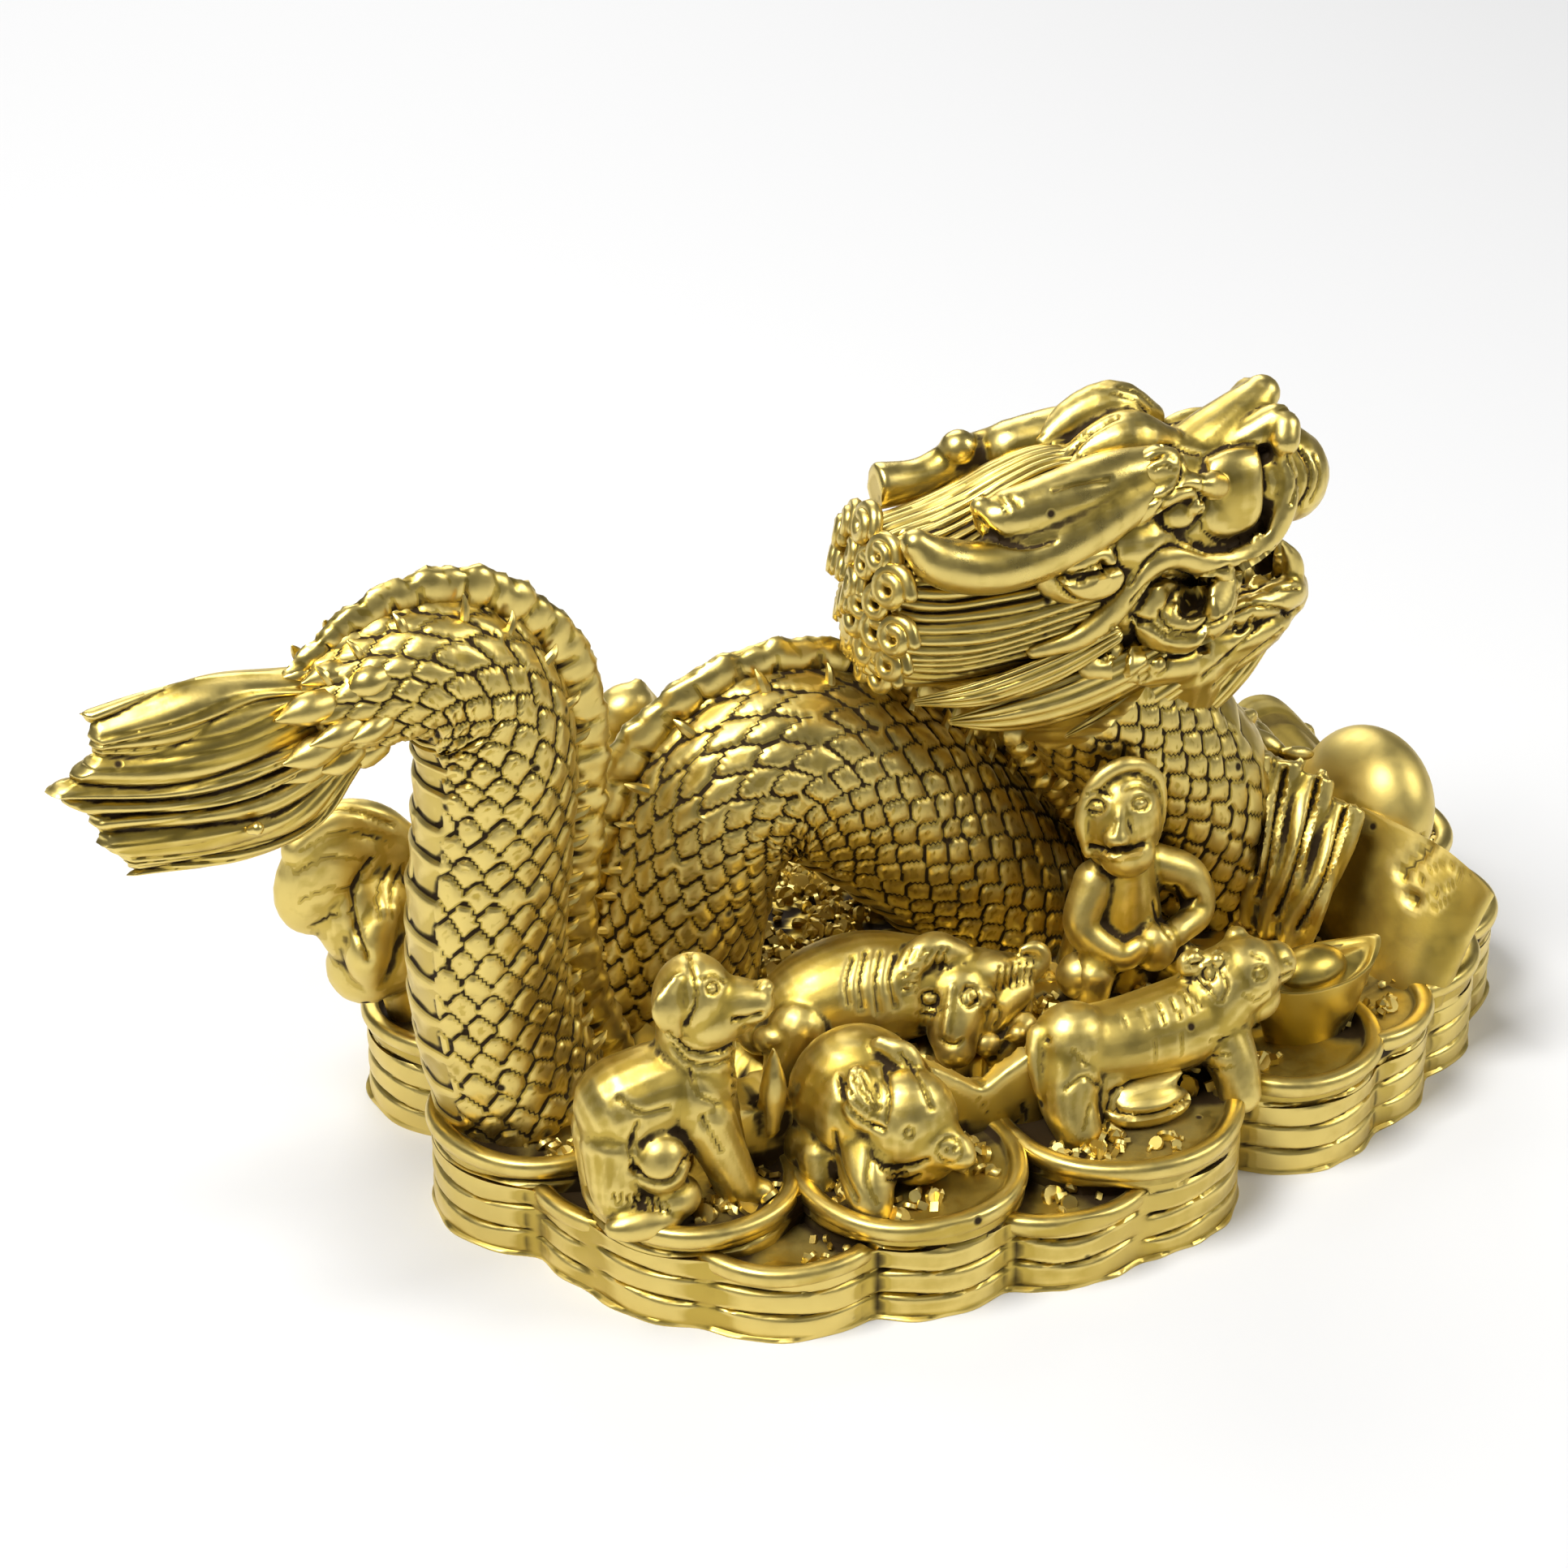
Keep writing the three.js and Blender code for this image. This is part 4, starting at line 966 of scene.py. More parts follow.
mid = HEAD_MIDDLE
head_parts = [
    ball((13, mid, 67.0), (11, 9.4, 6.8), (0, -6, 0)),
    ball((14, mid, 59.5), (10.5, 9.4, 8)),
    limb([(10, mid, 65.5, 8.8), (20, mid, 66.2, 8.0), (28, mid, 67.2, 6.9), (33, mid, 67.6, 6.2),
          (35, mid, 67.4, 5.4)], sides=28, rings=14, flat=1.06),
    limb([(22, mid, 69.2, 3.8), (28, mid + 0.6, 72.4, 3.8), (31.8, mid + 1.4, 75.2, 2.7),
          (33.2, mid + 1.8, 76.4, 2.0)], sides=20, rings=12, flat=1.1),
    ball((35.4, mid, 67.2), (4.8, 5.6, 5.2)),
    limb([(6, mid, 52.4, 7.4), (19, mid, 50.6, 7.8), (28, mid, 51.0, 6.4), (34, mid, 52.4, 4.4),
          (35.4, mid, 53.2, 3.6)], sides=24, rings=12, flat=1.12),
    limb([(9, mid, 73, 0.8), (13, mid, 73.6, 2.7), (17, mid, 73.8, 3.7), (21, mid, 72.8, 2.4)],
         sides=18, rings=10),
    limb([(9, mid + 4, 73.6, 1.4), (13, mid + 5, 75.2, 2.5), (17.6, mid + 5, 75.9, 2.9),
          (21.6, mid + 5, 74, 1.7)], sides=14, rings=8),
    ball((14, -4, 66), (9, 10.6, 6)),
]
# Each bar or lump of the near side: points with half thickness, or place and half sizes
NEAR_BARS = [
    [(26.6, -6, 71.6, 2.2), (30.4, -6.6, 73.8, 2.2), (32.8, -7.4, 75.3, 2.0), (32.8, -8.4, 74.9, 1.7)],
    [(33.0, -8.6, 75.2, 1.7), (32.6, -9.4, 74.0, 1.7)],
    [(32.2, -9.2, 73.0, 0.9), (32.9, -9.8, 70, 1.3), (32.2, -10.4, 66.4, 1.6), (30.2, -10.9, 63.6, 1.6),
     (26.5, -11.7, 62.2, 1.6), (22.5, -12.5, 62.8, 1.6), (18.6, -13.1, 64.6, 1.5), (15.4, -13.4, 64.2, 1.5),
     (13, -13.4, 61.4, 1.6), (10.6, -13.3, 58.6, 1.6), (7.6, -12.9, 56.6, 1.4), (3, -12.4, 55.6, 0.9)],
    [(14.4, -12.4, 69.8, 1.2), (17.6, -12.8, 72.0, 1.4), (21.0, -12.4, 72.2, 1.3), (24, -11.2, 71.0, 1.0)],
    [(25, -10.6, 54.6, 1.4), (30.5, -9.8, 54.9, 1.6), (35.2, -7.4, 54.4, 1.9), (36.8, -5.4, 53.6, 1.7)],
    [(24, -10.6, 51.8, 1.5), (29, -9.8, 51.4, 1.5), (34, -7.8, 51.4, 1.4), (35.4, -6, 51.2, 1.0)],
    [(36.0, -6.2, 54.4, 1.6), (36.0, -6.4, 57.6, 1.2), (34.4, -6.8, 60.6, 0.3)],
    [(22.2, -7.6, 50, 5.6), (22.6, -5.2, 44, 5.4), (21.6, -4.4, 38, 5.0)],
    [(16.0, -11.6, 60.6, 1.8), (17.4, -12.0, 56.6, 2.6), (22.6, -12.0, 56.4, 3.2), (25.4, -11.0, 59.4, 2.2)],
    [(9.5, -12.6, 52.6, 1.6), (15, -12.0, 51.4, 2.2), (21, -11.4, 50.6, 2.2)],
]
NEAR_LUMPS = [
    ((27, -9.0, 68.6), (5.8, 2.8, 5.0), (0, 0, 0)),
    ((19.4, -11.2, 68.7), (2.6, 2.2, 2.4), (0, 0, 0)),
    ((20.9, -13.0, 69.9), (1.0, 0.9, 1.0), (0, 0, 0)),
    ((17.6, -10.8, 73.9), (3.0, 2.4, 2.6), (0, 24, 0)),
    ((8.0, -12.9, 64.2), (5.4, 1.9, 3.6), (0, 4, 0)),
]
for bar in NEAR_BARS:
    for at in (tuple, across_the_head):
        head_parts.append(limb([at(p) for p in bar], sides=16, rings=8 * len(bar)))
for place, half, turn in NEAR_LUMPS:
    for at in (tuple, across_the_head):
        head_parts.append(ball(at(place), half, turn))
head = clay(head_parts, voxel=0.365)

# Drawn on the side of the head, right and up from a point on the cheek
CHEEK = (24, -11, 64)
HEAD_LINES = [
    # fold behind the nostril
    ([(5.4, 9.8), (5.8, 7.7), (5.9, 5.3), (5.8, 3.4), (5.4, 1.8)], 0.50, 1.00),
    # foot of the snout's side
    ([(5.4, 1.7), (3.4, 0.5), (1.4, -0.3), (-0.5, -0.6), (-2.0, -0.2)], 0.30, 0.55),
    # nose folds
    ([(7.9, 9.2), (8.9, 7.7), (9.2, 6.3), (8.5, 4.3)], 0.26, 0.45),
    ([(9.6, 10.3), (10.6, 8.5), (10.7, 6.3), (9.8, 4.3)], 0.26, 0.45),
    ([(11.3, 9.7), (11.9, 8.0), (11.7, 6.3), (11.0, 4.8)], 0.22, 0.35),
    # jaw lines
    ([(2.5, -5.2), (4.8, -4.5), (7.7, -4.2), (10.4, -4.3)], 0.20, 0.40),
    ([(-0.0, -8.6), (2.4, -7.3), (4.8, -6.2), (7.3, -6.5), (9.4, -7.1), (10.4, -6.6)], 0.24, 0.50),
    ([(2.9, -8.3), (3.4, -9.1), (4.2, -8.8), (4.6, -7.8)], 0.20, 0.40),
    ([(5.0, -7.5), (5.6, -8.3), (6.1, -7.9)], 0.20, 0.40),
    ([(8.7, -8.8), (4.8, -11.9), (0.9, -15.1)], 0.20, 0.35),
    ([(5.8, -8.5), (2.9, -11.2), (-0.5, -14.1)], 0.20, 0.35),
    # folds round the eye
    ([(-5.8, -7.1), (-4.9, -8.8), (-2.9, -9.5), (-1.0, -8.9), (-0.2, -7.3)], 0.24, 0.50),
    ([(-4.9, -3.4), (-2.9, -3.9), (-0.5, -3.6), (1.8, -2.6)], 0.30, 0.60),
    ([(-8.9, -6.4), (-7.1, -4.6), (-4.9, -3.4)], 0.26, 0.50),
    # above the lip
    ([(-9.2, -4.6), (-7.5, -2.1), (-4.9, -0.3), (-2.9, -0.7), (-1.0, -1.2)], 0.22, 0.35),
    # ear seam
    ([(-17.3, -3.6), (-14.8, -3.2), (-12.8, -2.5)], 0.16, 0.50),
    ([(-16.3, -1.5), (-14.1, -0.7), (-11.7, -0.4)], 0.13, 0.28),
    ([(-16.5, -2.2), (-14.1, -1.4), (-11.6, -1.0)], 0.13, 0.28),
    # brow
    ([(-3.9, 9.6), (-3.8, 7.3), (-4.8, 5.3), (-6.3, 4.3), (-8.8, 4.2)], 0.24, 0.45),
    ([(-6.8, 8.5), (-5.8, 9.0), (-4.8, 8.5)], 0.15, 0.28),
    ([(-7.1, 7.3), (-5.8, 7.7), (-4.6, 7.3)], 0.15, 0.28),
    ([(-6.3, 2.9), (-5.4, 4.3), (-4.2, 5.2), (-2.7, 5.4), (-1.6, 4.3)], 0.24, 0.50),
    ([(-6.3, 2.3), (-4.9, 1.1), (-2.9, 1.3), (-1.6, 2.9)], 0.24, 0.45),
    # forehead
    ([(-16.0, 8.4), (-14.6, 10.2), (-12.9, 11.9), (-10.5, 13.3)], 0.24, 0.50),
    ([(-15.8, 7.7), (-12.4, 7.3), (-8.8, 7.7), (-6.3, 8.8)], 0.30, 0.60),
    ([(-10.7, 16.0), (-8.3, 15.3), (-6.8, 14.1)], 0.15, 0.30),
    ([(-10.0, 16.7), (-7.8, 16.2), (-6.3, 15.0)], 0.15, 0.30),
    ([(-5.8, 10.1), (-4.4, 10.2), (-2.9, 9.7), (-1.7, 9.4)], 0.24, 0.50),
]
HEAD_PLATES = [
    # smooth side of the snout
    ([(-1.1, 9.0), (1.7, 10.2), (4.8, 10.2), (5.5, 6.3), (5.6, 3.1), (4.1, 1.4), (0.9, 0.5),
      (-1.1, 1.4), (-1.5, 5.3)], 0.45, 1.00),
    # leaf in front of the eye
    ([(-0.2, -3.5), (2.3, -3.2), (2.5, -5.4), (1.7, -7.3), (0.0, -8.1), (-0.5, -5.6)], 0.55, 0.35),
    # bag under the eye
    ([(-8.8, -7.8), (-6.8, -8.6), (-4.9, -9.8), (-2.0, -10.0), (-0.5, -8.6), (-1.1, -10.5),
      (-3.4, -11.7), (-6.6, -11.2), (-8.0, -9.8)], 0.55, 0.40),
    # lid of the eye
    ([(-6.3, -4.4), (-4.9, -3.9), (-3.4, -4.0), (-4.6, -5.4), (-5.6, -7.3), (-6.7, -8.1),
      (-8.3, -7.8)], 0.30, 0.40),
    # pointed tufts under the eye
    ([(-10.9, -9.0), (-10.0, -10.0), (-9.2, -11.2), (-10.7, -11.9), (-11.9, -12.4),
      (-11.2, -10.7)], 0.50, 0.30),
    ([(-9.2, -11.4), (-8.2, -10.0), (-6.8, -12.6), (-7.8, -13.4), (-9.1, -14.2)], 0.50, 0.30),
    ([(-6.3, -12.5), (-5.3, -11.7), (-4.8, -12.9), (-5.8, -13.7)], 0.40, 0.30),
    # lower half of the ear
    ([(-17.3, -3.7), (-14.8, -4.4), (-12.6, -3.5), (-10.2, -3.0), (-10.1, -4.2), (-11.2, -5.4),
      (-13.6, -6.2), (-15.6, -5.6)], 0.70, 0.35),
    # upper half of the ear
    ([(-17.4, -2.0), (-16.0, -0.8), (-13.6, -0.0), (-11.4, -0.0), (-11.1, -1.2), (-10.7, -2.2),
      (-11.2, -2.7), (-13.6, -3.4), (-17.0, -3.5)], 0.60, 0.35),
    # mouth
    ([(2.2, -2.5), (3.4, -4.0), (4.8, -4.1), (5.6, -2.7), (7.7, -1.6), (7.9, 0.3), (6.0, -0.8),
      (3.4, -2.0)], -1.70, 0.50),
    # hollow of the eye
    ([(-3.7, -7.3), (-3.6, -5.8), (-2.7, -4.8), (-1.0, -4.5), (-0.5, -5.8), (-0.6, -7.5),
      (-1.7, -8.0), (-2.9, -8.0)], -1.90, 0.45),
    # gaps beside the tufts
    ([(-12.4, -10.3), (-11.2, -9.7), (-11.6, -11.5), (-12.6, -12.2), (-13.0, -11.4)], -1.20, 0.30),
    ([(-10.5, -12.5), (-9.2, -11.5), (-9.3, -13.4), (-10.0, -14.8), (-10.6, -13.9)], -1.30, 0.30),
    ([(-7.8, -13.9), (-6.6, -12.8), (-6.3, -13.9), (-7.2, -14.9)], -1.10, 0.30),
    ([(-0.9, -10.5), (-0.0, -9.8), (0.3, -11.2), (-0.9, -11.5), (-1.3, -10.9)], -1.10, 0.30),
]
carve(head, CHEEK, lines=HEAD_LINES, plates=HEAD_PLATES, reach=27, mirror=HEAD_MIDDLE)
carve(head, CHEEK, lines=[([(-14.4 + 0.55 * k, 9.0 - 0.02 * k * k)], 0.14, 0.3) for k in range(9)]
      + [([(-12.1, -2.7)], 0.5, 1.5)], reach=27)
finish_piece(head, "dragon_head", gold_paint("gold on the head", polish=0.35, pits=0.4, bump=0.45))


# The antlers: two smooth forked horns that sweep back from the brows. The end of the far one is
# broken off square, as it is on the casting.
ANTLER = [(18, -10.6, 72.6, 2.0), (13, -11.0, 70.8, 3.2), (7, -12, 68.4, 3.3), (1, -12.6, 66.8, 3.0),
          (-4, -12.6, 66.8, 2.9), (-8.4, -12.2, 68.4, 2.6), (-10.4, -12, 70.4, 1.7)]
BRANCH = [(18, -9.8, 73.8, 2.2), (12, -10, 73.0, 3.2), (6, -10.6, 72.0, 3.2), (1.6, -10.8, 71.4, 2.9),
          (-1.6, -10.6, 71.6, 2.4), (-2.6, -10.4, 72.6, 1.2)]
BROKEN = [(16, 1.6, 72.6, 2.6), (10.9, 3.4, 72.4, 2.9), (4.9, 4.0, 71.4, 2.6), (0.6, 4.2, 70.6, 2.5),
          (-3.6, 4, 69.4, 2.3), (-8.8, 4, 69.4, 2.6)]
antlers = clay([
    limb(ANTLER, sides=20, rings=30), limb(BRANCH, sides=18, rings=20),
    limb(BROKEN, sides=20, rings=26, blunt=(True, False)), ball((0.6, 3.6, 72.4), (2.2, 2.1, 2.2)),
    limb([across_the_head(p) for p in BRANCH[:3]], sides=16, rings=12),
], voxel=0.44)
carve(antlers, (2, -13, 70), lines=[
    ([(-5.6, 1.4), (-3.4, -0.6), (-0.6, -1.4), (2.4, -0.8)], 0.4, 0.45),
    ([(2.4, 4.4), (5.0, 5.2), (8.0, 5.6)], 0.3, 0.35),
    ([(-3.2, 3.4), (-2.4, 2.2)], 0.3, 0.3), ([(-2.2, 3.8), (-1.4, 2.8)], 0.3, 0.3),
], reach=18)
finish_piece(antlers, "antlers", gold_paint("gold on the antlers", polish=0.31, pits=0.35))


# The mane: combed wavy strands that start behind the cheeks and wrap the back of the head, where
# they end in small curls, a finer sheaf between the antlers, and long combed tufts of beard.
MANE = {"strands": 46, "furrow": 0.75, "swell": 0.35}
MANE_LINE = [(16, mid, 60.4, 8.0), (9, mid, 60.4, 9.5), (1, mid, 60.0, 9.8), (-6, mid, 59.8, 9.5),
             (-11, mid, 60.2, 8.6), (-12.8, mid, 60.6, 7.4)]
# Rings of curls at the back of the head: how far out each lies, and how many curls it has
CURL_RINGS = ((8.4, 12), (5.2, 8), (1.9, 4))


def mane_relief(along, turn):
    wave = 0.9 * np.sin(along * 7 + 2 * turn) + 0.5 * np.sin(along * 13 + 5 * turn) * along
    strand = np.abs(np.cos(turn * MANE["strands"] / 2 + wave)) ** 0.6
    merge = 0.5 + 0.5 * np.sin(turn * 9 + 3 * along + 1.4)
    deep = MANE["furrow"] * (0.55 + 0.45 * merge)
    return deep * (strand - 1) + MANE["swell"] * np.sin(turn * 8 + 4 * along)


def ringlet_of_hair(place, size, facing, turns=1.3):
    """A curl: a thin lock wound round a dark middle, seen from `facing`."""
    facing = np.array(facing, float) / np.linalg.norm(facing)
    right = np.cross((0, 0, 1), facing)
    right /= np.linalg.norm(right)
    up = np.cross(facing, right)
    line = []
    for k in range(10):
        angle = 2 * math.pi * turns * k / 9
        reach = size * (1.1 - 0.07 * k)
        out = reach * (math.cos(angle) * right + math.sin(angle) * up)
        line.append((*(np.array(place) + out + facing * 0.08 * k), size * 0.42))
    return limb(line, sides=7, rings=20, across=facing)


mane_parts = [limb(MANE_LINE, sides=340, rings=48, relief=mane_relief, blunt=(True, False))]
chance = random.Random(21)
for ring, (reach, count) in enumerate(CURL_RINGS):
    for k in range(count):
        angle = 2 * math.pi * (k + 0.4 * ring) / count + chance.uniform(-0.1, 0.1)
        place = (-12.4 - 0.5 * ring, mid - reach * math.sin(angle), 60.6 + reach * math.cos(angle))
        facing = (-1, -0.6 * math.sin(angle), 0.3)
        mane_parts.append(ringlet_of_hair(place, chance.uniform(1.6, 2.2), facing))
CROWN = [(12.4, 72.6, 2.4), (8, 73.6, 3.2), (3.6, 72.4, 3.6), (-0.6, 70.4, 3.9), (-5, 68.8, 4.2),
         (-10.6, 67.4, 4.0), (-12.2, 66.4, 3.2)]
crown_line = [(x, mid, z - half * 0.72, half) for x, z, half in CROWN]
mane_parts.append(limb(crown_line, sides=130, rings=44, flat=1.65, relief=combed(0.6, 30, 0.3, 0.6),
                       blunt=(True, False)))
TUFTS = [
    [(22, -11.0, 53.6, 1.6), (14, -12.4, 51.4, 2.6), (5, -12.4, 49.0, 2.6), (-1, -11.2, 47.8, 1.8),
     (-5, -10, 47.4, 0.5)],
    [(27, -10.2, 52.0, 1.4), (20, -11.2, 48.4, 2.2), (14, -11.2, 45.4, 2.0), (8.6, -10, 43.0, 0.5)],
    [(30, -9.2, 51.0, 1.0), (25.6, -9.8, 47.4, 1.6), (21.4, -9.6, 44.0, 1.4), (17.4, -8.8, 41.2, 0.4)],
    [(12, -12.8, 56.0, 1.2), (5, -13.2, 53.6, 1.7), (-3, -12.4, 51.6, 1.5), (-9.4, -10.8, 51.0, 0.5)],
    [(33, -7.2, 49.6, 1.2), (29, -8.2, 46.4, 1.9), (25.6, -8.4, 43.0, 1.5), (23, -7.6, 40.0, 0.4)],
]
for k, tuft in enumerate(TUFTS):
    for at in (tuple, across_the_head):
        mane_parts.append(limb([at(p) for p in tuft], sides=52, rings=26, flat=0.62,
                               relief=combed(0.42, 11, k, 0.5)))
mane_parts.append(limb([(24, mid, 48, 6.2), (12, mid, 49, 6.6), (2, mid, 52, 6.0), (-6, mid, 55, 5.0)],
                       sides=40, rings=24, flat=1.15, relief=combed(0.5, 24, 0.3)))
mane_gold = gold_paint("gold on the mane", polish=0.34, pits=0.6)
finish_piece(sealed(joined(mane_parts)), "mane", mane_gold, smooth_angle=60)


# The chest: a pleated fan of stiff cloth-like folds that opens from the foot of the neck towards
# the big ingot, with ragged top edges, and the foreleg whose claws grip the ingot's rim.
PLEATS = [
    ((31.0, -8.0, 15.6), (31.6, -8.2, 23.0), (33.4, -4.8, 33.6)),
    ((31.8, -9.8, 15.4), (32.6, -10.6, 22.8), (36.6, -6.0, 32.4)),
    ((33.2, -12.4, 15.2), (34.6, -13.0, 22.0), (39.6, -8.2, 30.8)),
    ((34.8, -14.8, 14.4), (36.6, -15.6, 20.6), (42.4, -10.6, 27.6)),
]
KNOBS = 6
fan_parts = []
chance = random.Random(9)
for foot, bend, top in PLEATS:
    fan_parts.append(limb([(*foot, 1.8), (*bend, 2.1), (*top, 2.2)], sides=16, rings=24, flat=1.2,
                          relief=lambda along, turn: 0.3 * np.sin(along * 9 + 3 * turn),
                          blunt=(True, False)))
    for k in range(KNOBS):
        away = [chance.uniform(-1.8, 1.8), chance.uniform(-1.4, 0.8), chance.uniform(-1.6, 0.7)]
        half = (chance.uniform(0.4, 0.9), 0.7, chance.uniform(0.6, 1.3))
        fan_parts.append(ball(np.array(top) + away, half, (0, chance.uniform(-50, 50), 0), rings=6))
fan_parts += [
    limb([(31, -5.5, 15, 3.6), (34.5, -8, 22, 4.4), (36.4, -7.4, 26, 3.8)], sides=16, rings=10, flat=0.7),
    limb([(27, 1.5, 25, 4.4), (31, 3.0, 31, 4.2), (34, 3.0, 32, 3.2), (36.2, 2.4, 30.6, 2.2)],
         sides=18, rings=14),
    limb([(29, -4, 30, 3.2), (31.6, -2.5, 35.0, 2.6), (34.4, -1.8, 36.2, 1.0)],
         sides=14, rings=10, relief=combed(0.25, 3)),
    ball((40.4, -2.4, 30.6), (2.2, 0.9, 0.9), (0, 14, 0), rings=8),
]
for y in (-0.6, 2.6, 5.8):
    claw = [(34.4, 2.6, 31.2, 1.6), (37.4, y + 0.4, 31.0, 1.6), (40.2, y - 0.4, 29.4, 0.4)]
    fan_parts.append(limb(claw, sides=12, rings=12))
fan = clay(fan_parts, voxel=0.4)
GAPS = [
    [(-7.4, 4.6), (-7.6, -1.7), (-8.3, -6.6)],
    [(-4.9, 5.2), (-5.6, 0.8), (-6.6, -4.2), (-7.6, -9.0)],
    [(-1.3, 4.2), (-2.4, -1.2), (-4.1, -5.6), (-5.6, -11.0)],
    [(1.9, 1.2), (0.6, -3.4), (-1.7, -8.4), (-3.4, -12.6)],
]
rims = [([(x + 0.6, y) for x, y in gap], 0.16, -0.3) for gap in GAPS]
carve(fan, (43, -2.6, 22), lines=[(gap, 0.3, 0.9) for gap in GAPS] + rims, reach=24)
finish_piece(fan, "chest_fan", gold_paint("gold on the chest fan", polish=0.4, pits=0.6))


# The two ingots: boat-shaped hulls with a rim round a sunk deck and a dome in the middle. The big
# one leans to the right, and its smooth hull has a notch, a scratched patch and an air hole. The
# mould leaves no hollow under either, so both hulls run down into the coins.
BIG_RIM = [(53.2, -26, 23), (51.8, -22, 24.6), (49.9, -17.5, 25.6), (45.5, -9, 26.2), (43, -2.6, 25.8),
           (41.6, 5, 25), (41.2, 12, 24.8), (42.3, 18, 24.8), (45.5, 20.8, 24.9), (49, 20.3, 24.4),
           (51.7, 16.6, 21.6), (52.8, 10, 19.2), (53.2, 2, 17.4), (53.5, -6, 16.6), (53.8, -14, 16.9),
           (54, -20, 18.8), (53.9, -24, 21.2)]
BIG_FOOT = [(48.6, -25.2), (46.2, -25.8), (43.2, -23.6), (40.8, -16.5), (39.8, -8), (39.0, 0), (39.2, 8),
            (40.5, 14), (44, 17), (47.5, 16), (49.5, 13), (51, 8), (52, 1), (52.4, -6), (52.4, -13),
            (51.8, -18.5), (50.6, -23)]
BIG_DOME = ((49.0, -3.4, 23.0), (6.2, 9.5, 8.8), (0, 14, 11))
# The small one: its middle, half length, height at the waist, rise to the tips, and yaw
SMALL = {"x": 31.4, "y": -26.4, "foot_y": -26.6, "half": 9, "waist": 18.2, "rise": 1.3, "yaw": 0.2}
SMALL_OUTLINE = [(9, 0), (6.6, 2.6), (3.4, 4.0), (0, 4.4), (-3.4, 4.0), (-6.6, 2.6), (-9, 0), (-6.6, -2.6),
                 (-3.4, -4.0), (0, -4.4), (3.4, -4.0), (6.6, -2.6)]
yaw_x, yaw_y = math.cos(SMALL["yaw"]), math.sin(SMALL["yaw"])
SMALL_RIM = [(SMALL["x"] + a * yaw_x - b * yaw_y, SMALL["y"] + a * yaw_y + b * yaw_x,
              SMALL["waist"] + SMALL["rise"] * (a / SMALL["half"]) ** 4) for a, b in SMALL_OUTLINE]
SMALL_FOOT = [(SMALL["x"] + 0.62 * (x - SMALL["x"]), SMALL["foot_y"] + 0.72 * (y - SMALL["foot_y"]))
              for x, y, z in SMALL_RIM]
SMALL_DOME = ((31.0, -26.2, 17.8), (4.7, 3.1, 2.8), (0, 0, 11))
HULL = {"foot": 8.6, "rows": (34, 4, 14), "lip": 0.09, "deck": 0.7, "flare": 1.25}


def round_loop(points, share):
    """A smooth closed curve through points, read at shares of one trip round."""
    points = np.array(points, float)
    place = share * len(points)
    first = np.floor(place).astype(int)
    t = (place - first)[:, None]
    a, b, c, d = (points[(first + k) % len(points)] for k in (-1, 0, 1, 2))
    bend, twist = 2 * a - 5 * b + 4 * c - d, 3 * b - a - 3 * c + d
    return 0.5 * (2 * b + (c - a) * t + bend * t ** 2 + twist * t ** 3)


def ingot(rim, foot, dome, columns):
    side, lip, deck = HULL["rows"]
    middle = np.mean(rim, axis=0)

    def lay(row, column):
        step = np.round(row * (side + lip + deck))
        edge, low = round_loop(rim, column), round_loop(foot, column)
        up = np.clip(step / side, 0, 1)[:, None]
        hull = np.hstack([low + (edge[:, :2] - low) * up ** HULL["flare"],
                          HULL["foot"] + (edge[:, 2:] - HULL["foot"]) * up])
        over_lip = np.clip((step - side) / lip, 0, 1)[:, None]
        over_deck = np.clip((step - side - lip) / deck, 0, 1)[:, None]
        inward = over_lip * HULL["lip"] + over_deck * (1 - HULL["lip"])
        inside = edge + (middle - edge) * inward
        inside[:, 2] -= HULL["deck"] * smooth_step(inward[:, 0], HULL["lip"] * 0.8, HULL["lip"] * 2.4)
        return np.where(step[:, None] <= side, hull, inside)

    return sealed(joined([sealed(wrapped(side + lip + deck, columns, lay)), ball(*dome, rings=28)]))


big_ingot = ingot(BIG_RIM, BIG_FOOT, BIG_DOME, 170)
AIR_HOLE = (46.2, -21.5, 21.1)
carve(big_ingot, AIR_HOLE, lines=[
    ([(2.3, 6.8), (1.1, 4.9), (-0.4, 3.4), (-0.9, 2.5)], 0.36, 0.9), ([(0, 0), (0.05, 0)], 0.5, 1.6),
    ([(0.9, 1.6), (1.0, 2.4), (2.4, 3.6), (4.4, 3.6), (5.8, 2.6)], 0.12, 0.25),
    ([(0.9, 1.6), (1.8, 0.9), (3.4, 1.2), (4.6, 2.2), (4.9, 3.0)], 0.12, 0.25),
    ([(0.6, 0.0), (2.0, 0.4), (3.2, 0.2)], 0.11, 0.22), ([(1.6, -0.2), (2.4, -0.9), (3.6, 0.0)], 0.11, 0.22),
], reach=14)
big_gold = gold_paint("gold on the big ingot", polish=0.46, pits=0.2)
finish_piece(big_ingot, "big_ingot", big_gold, dark=1.1, broad=0.2)
small_ingot = ingot(SMALL_RIM, SMALL_FOOT, SMALL_DOME, 110)
small_gold = gold_paint("gold on the small ingot", polish=0.34, pits=0.3)
finish_piece(small_ingot, "small_ingot", small_gold, dark=0.4)


# The dog sits up on the left front stack and looks to the right, over a ball like an egg. It is
# resin, cast in one with the stack under it, and its ribs, toes and folds are short carved lines.
def ringlet(x, z, radius, tall=1.0):
    """A small closed ring of a drawing, such as an eye."""
    angles = np.linspace(0, 2 * math.pi, 9)
    return [(x + radius * math.cos(a), z + tall * radius * math.sin(a)) for a in angles]


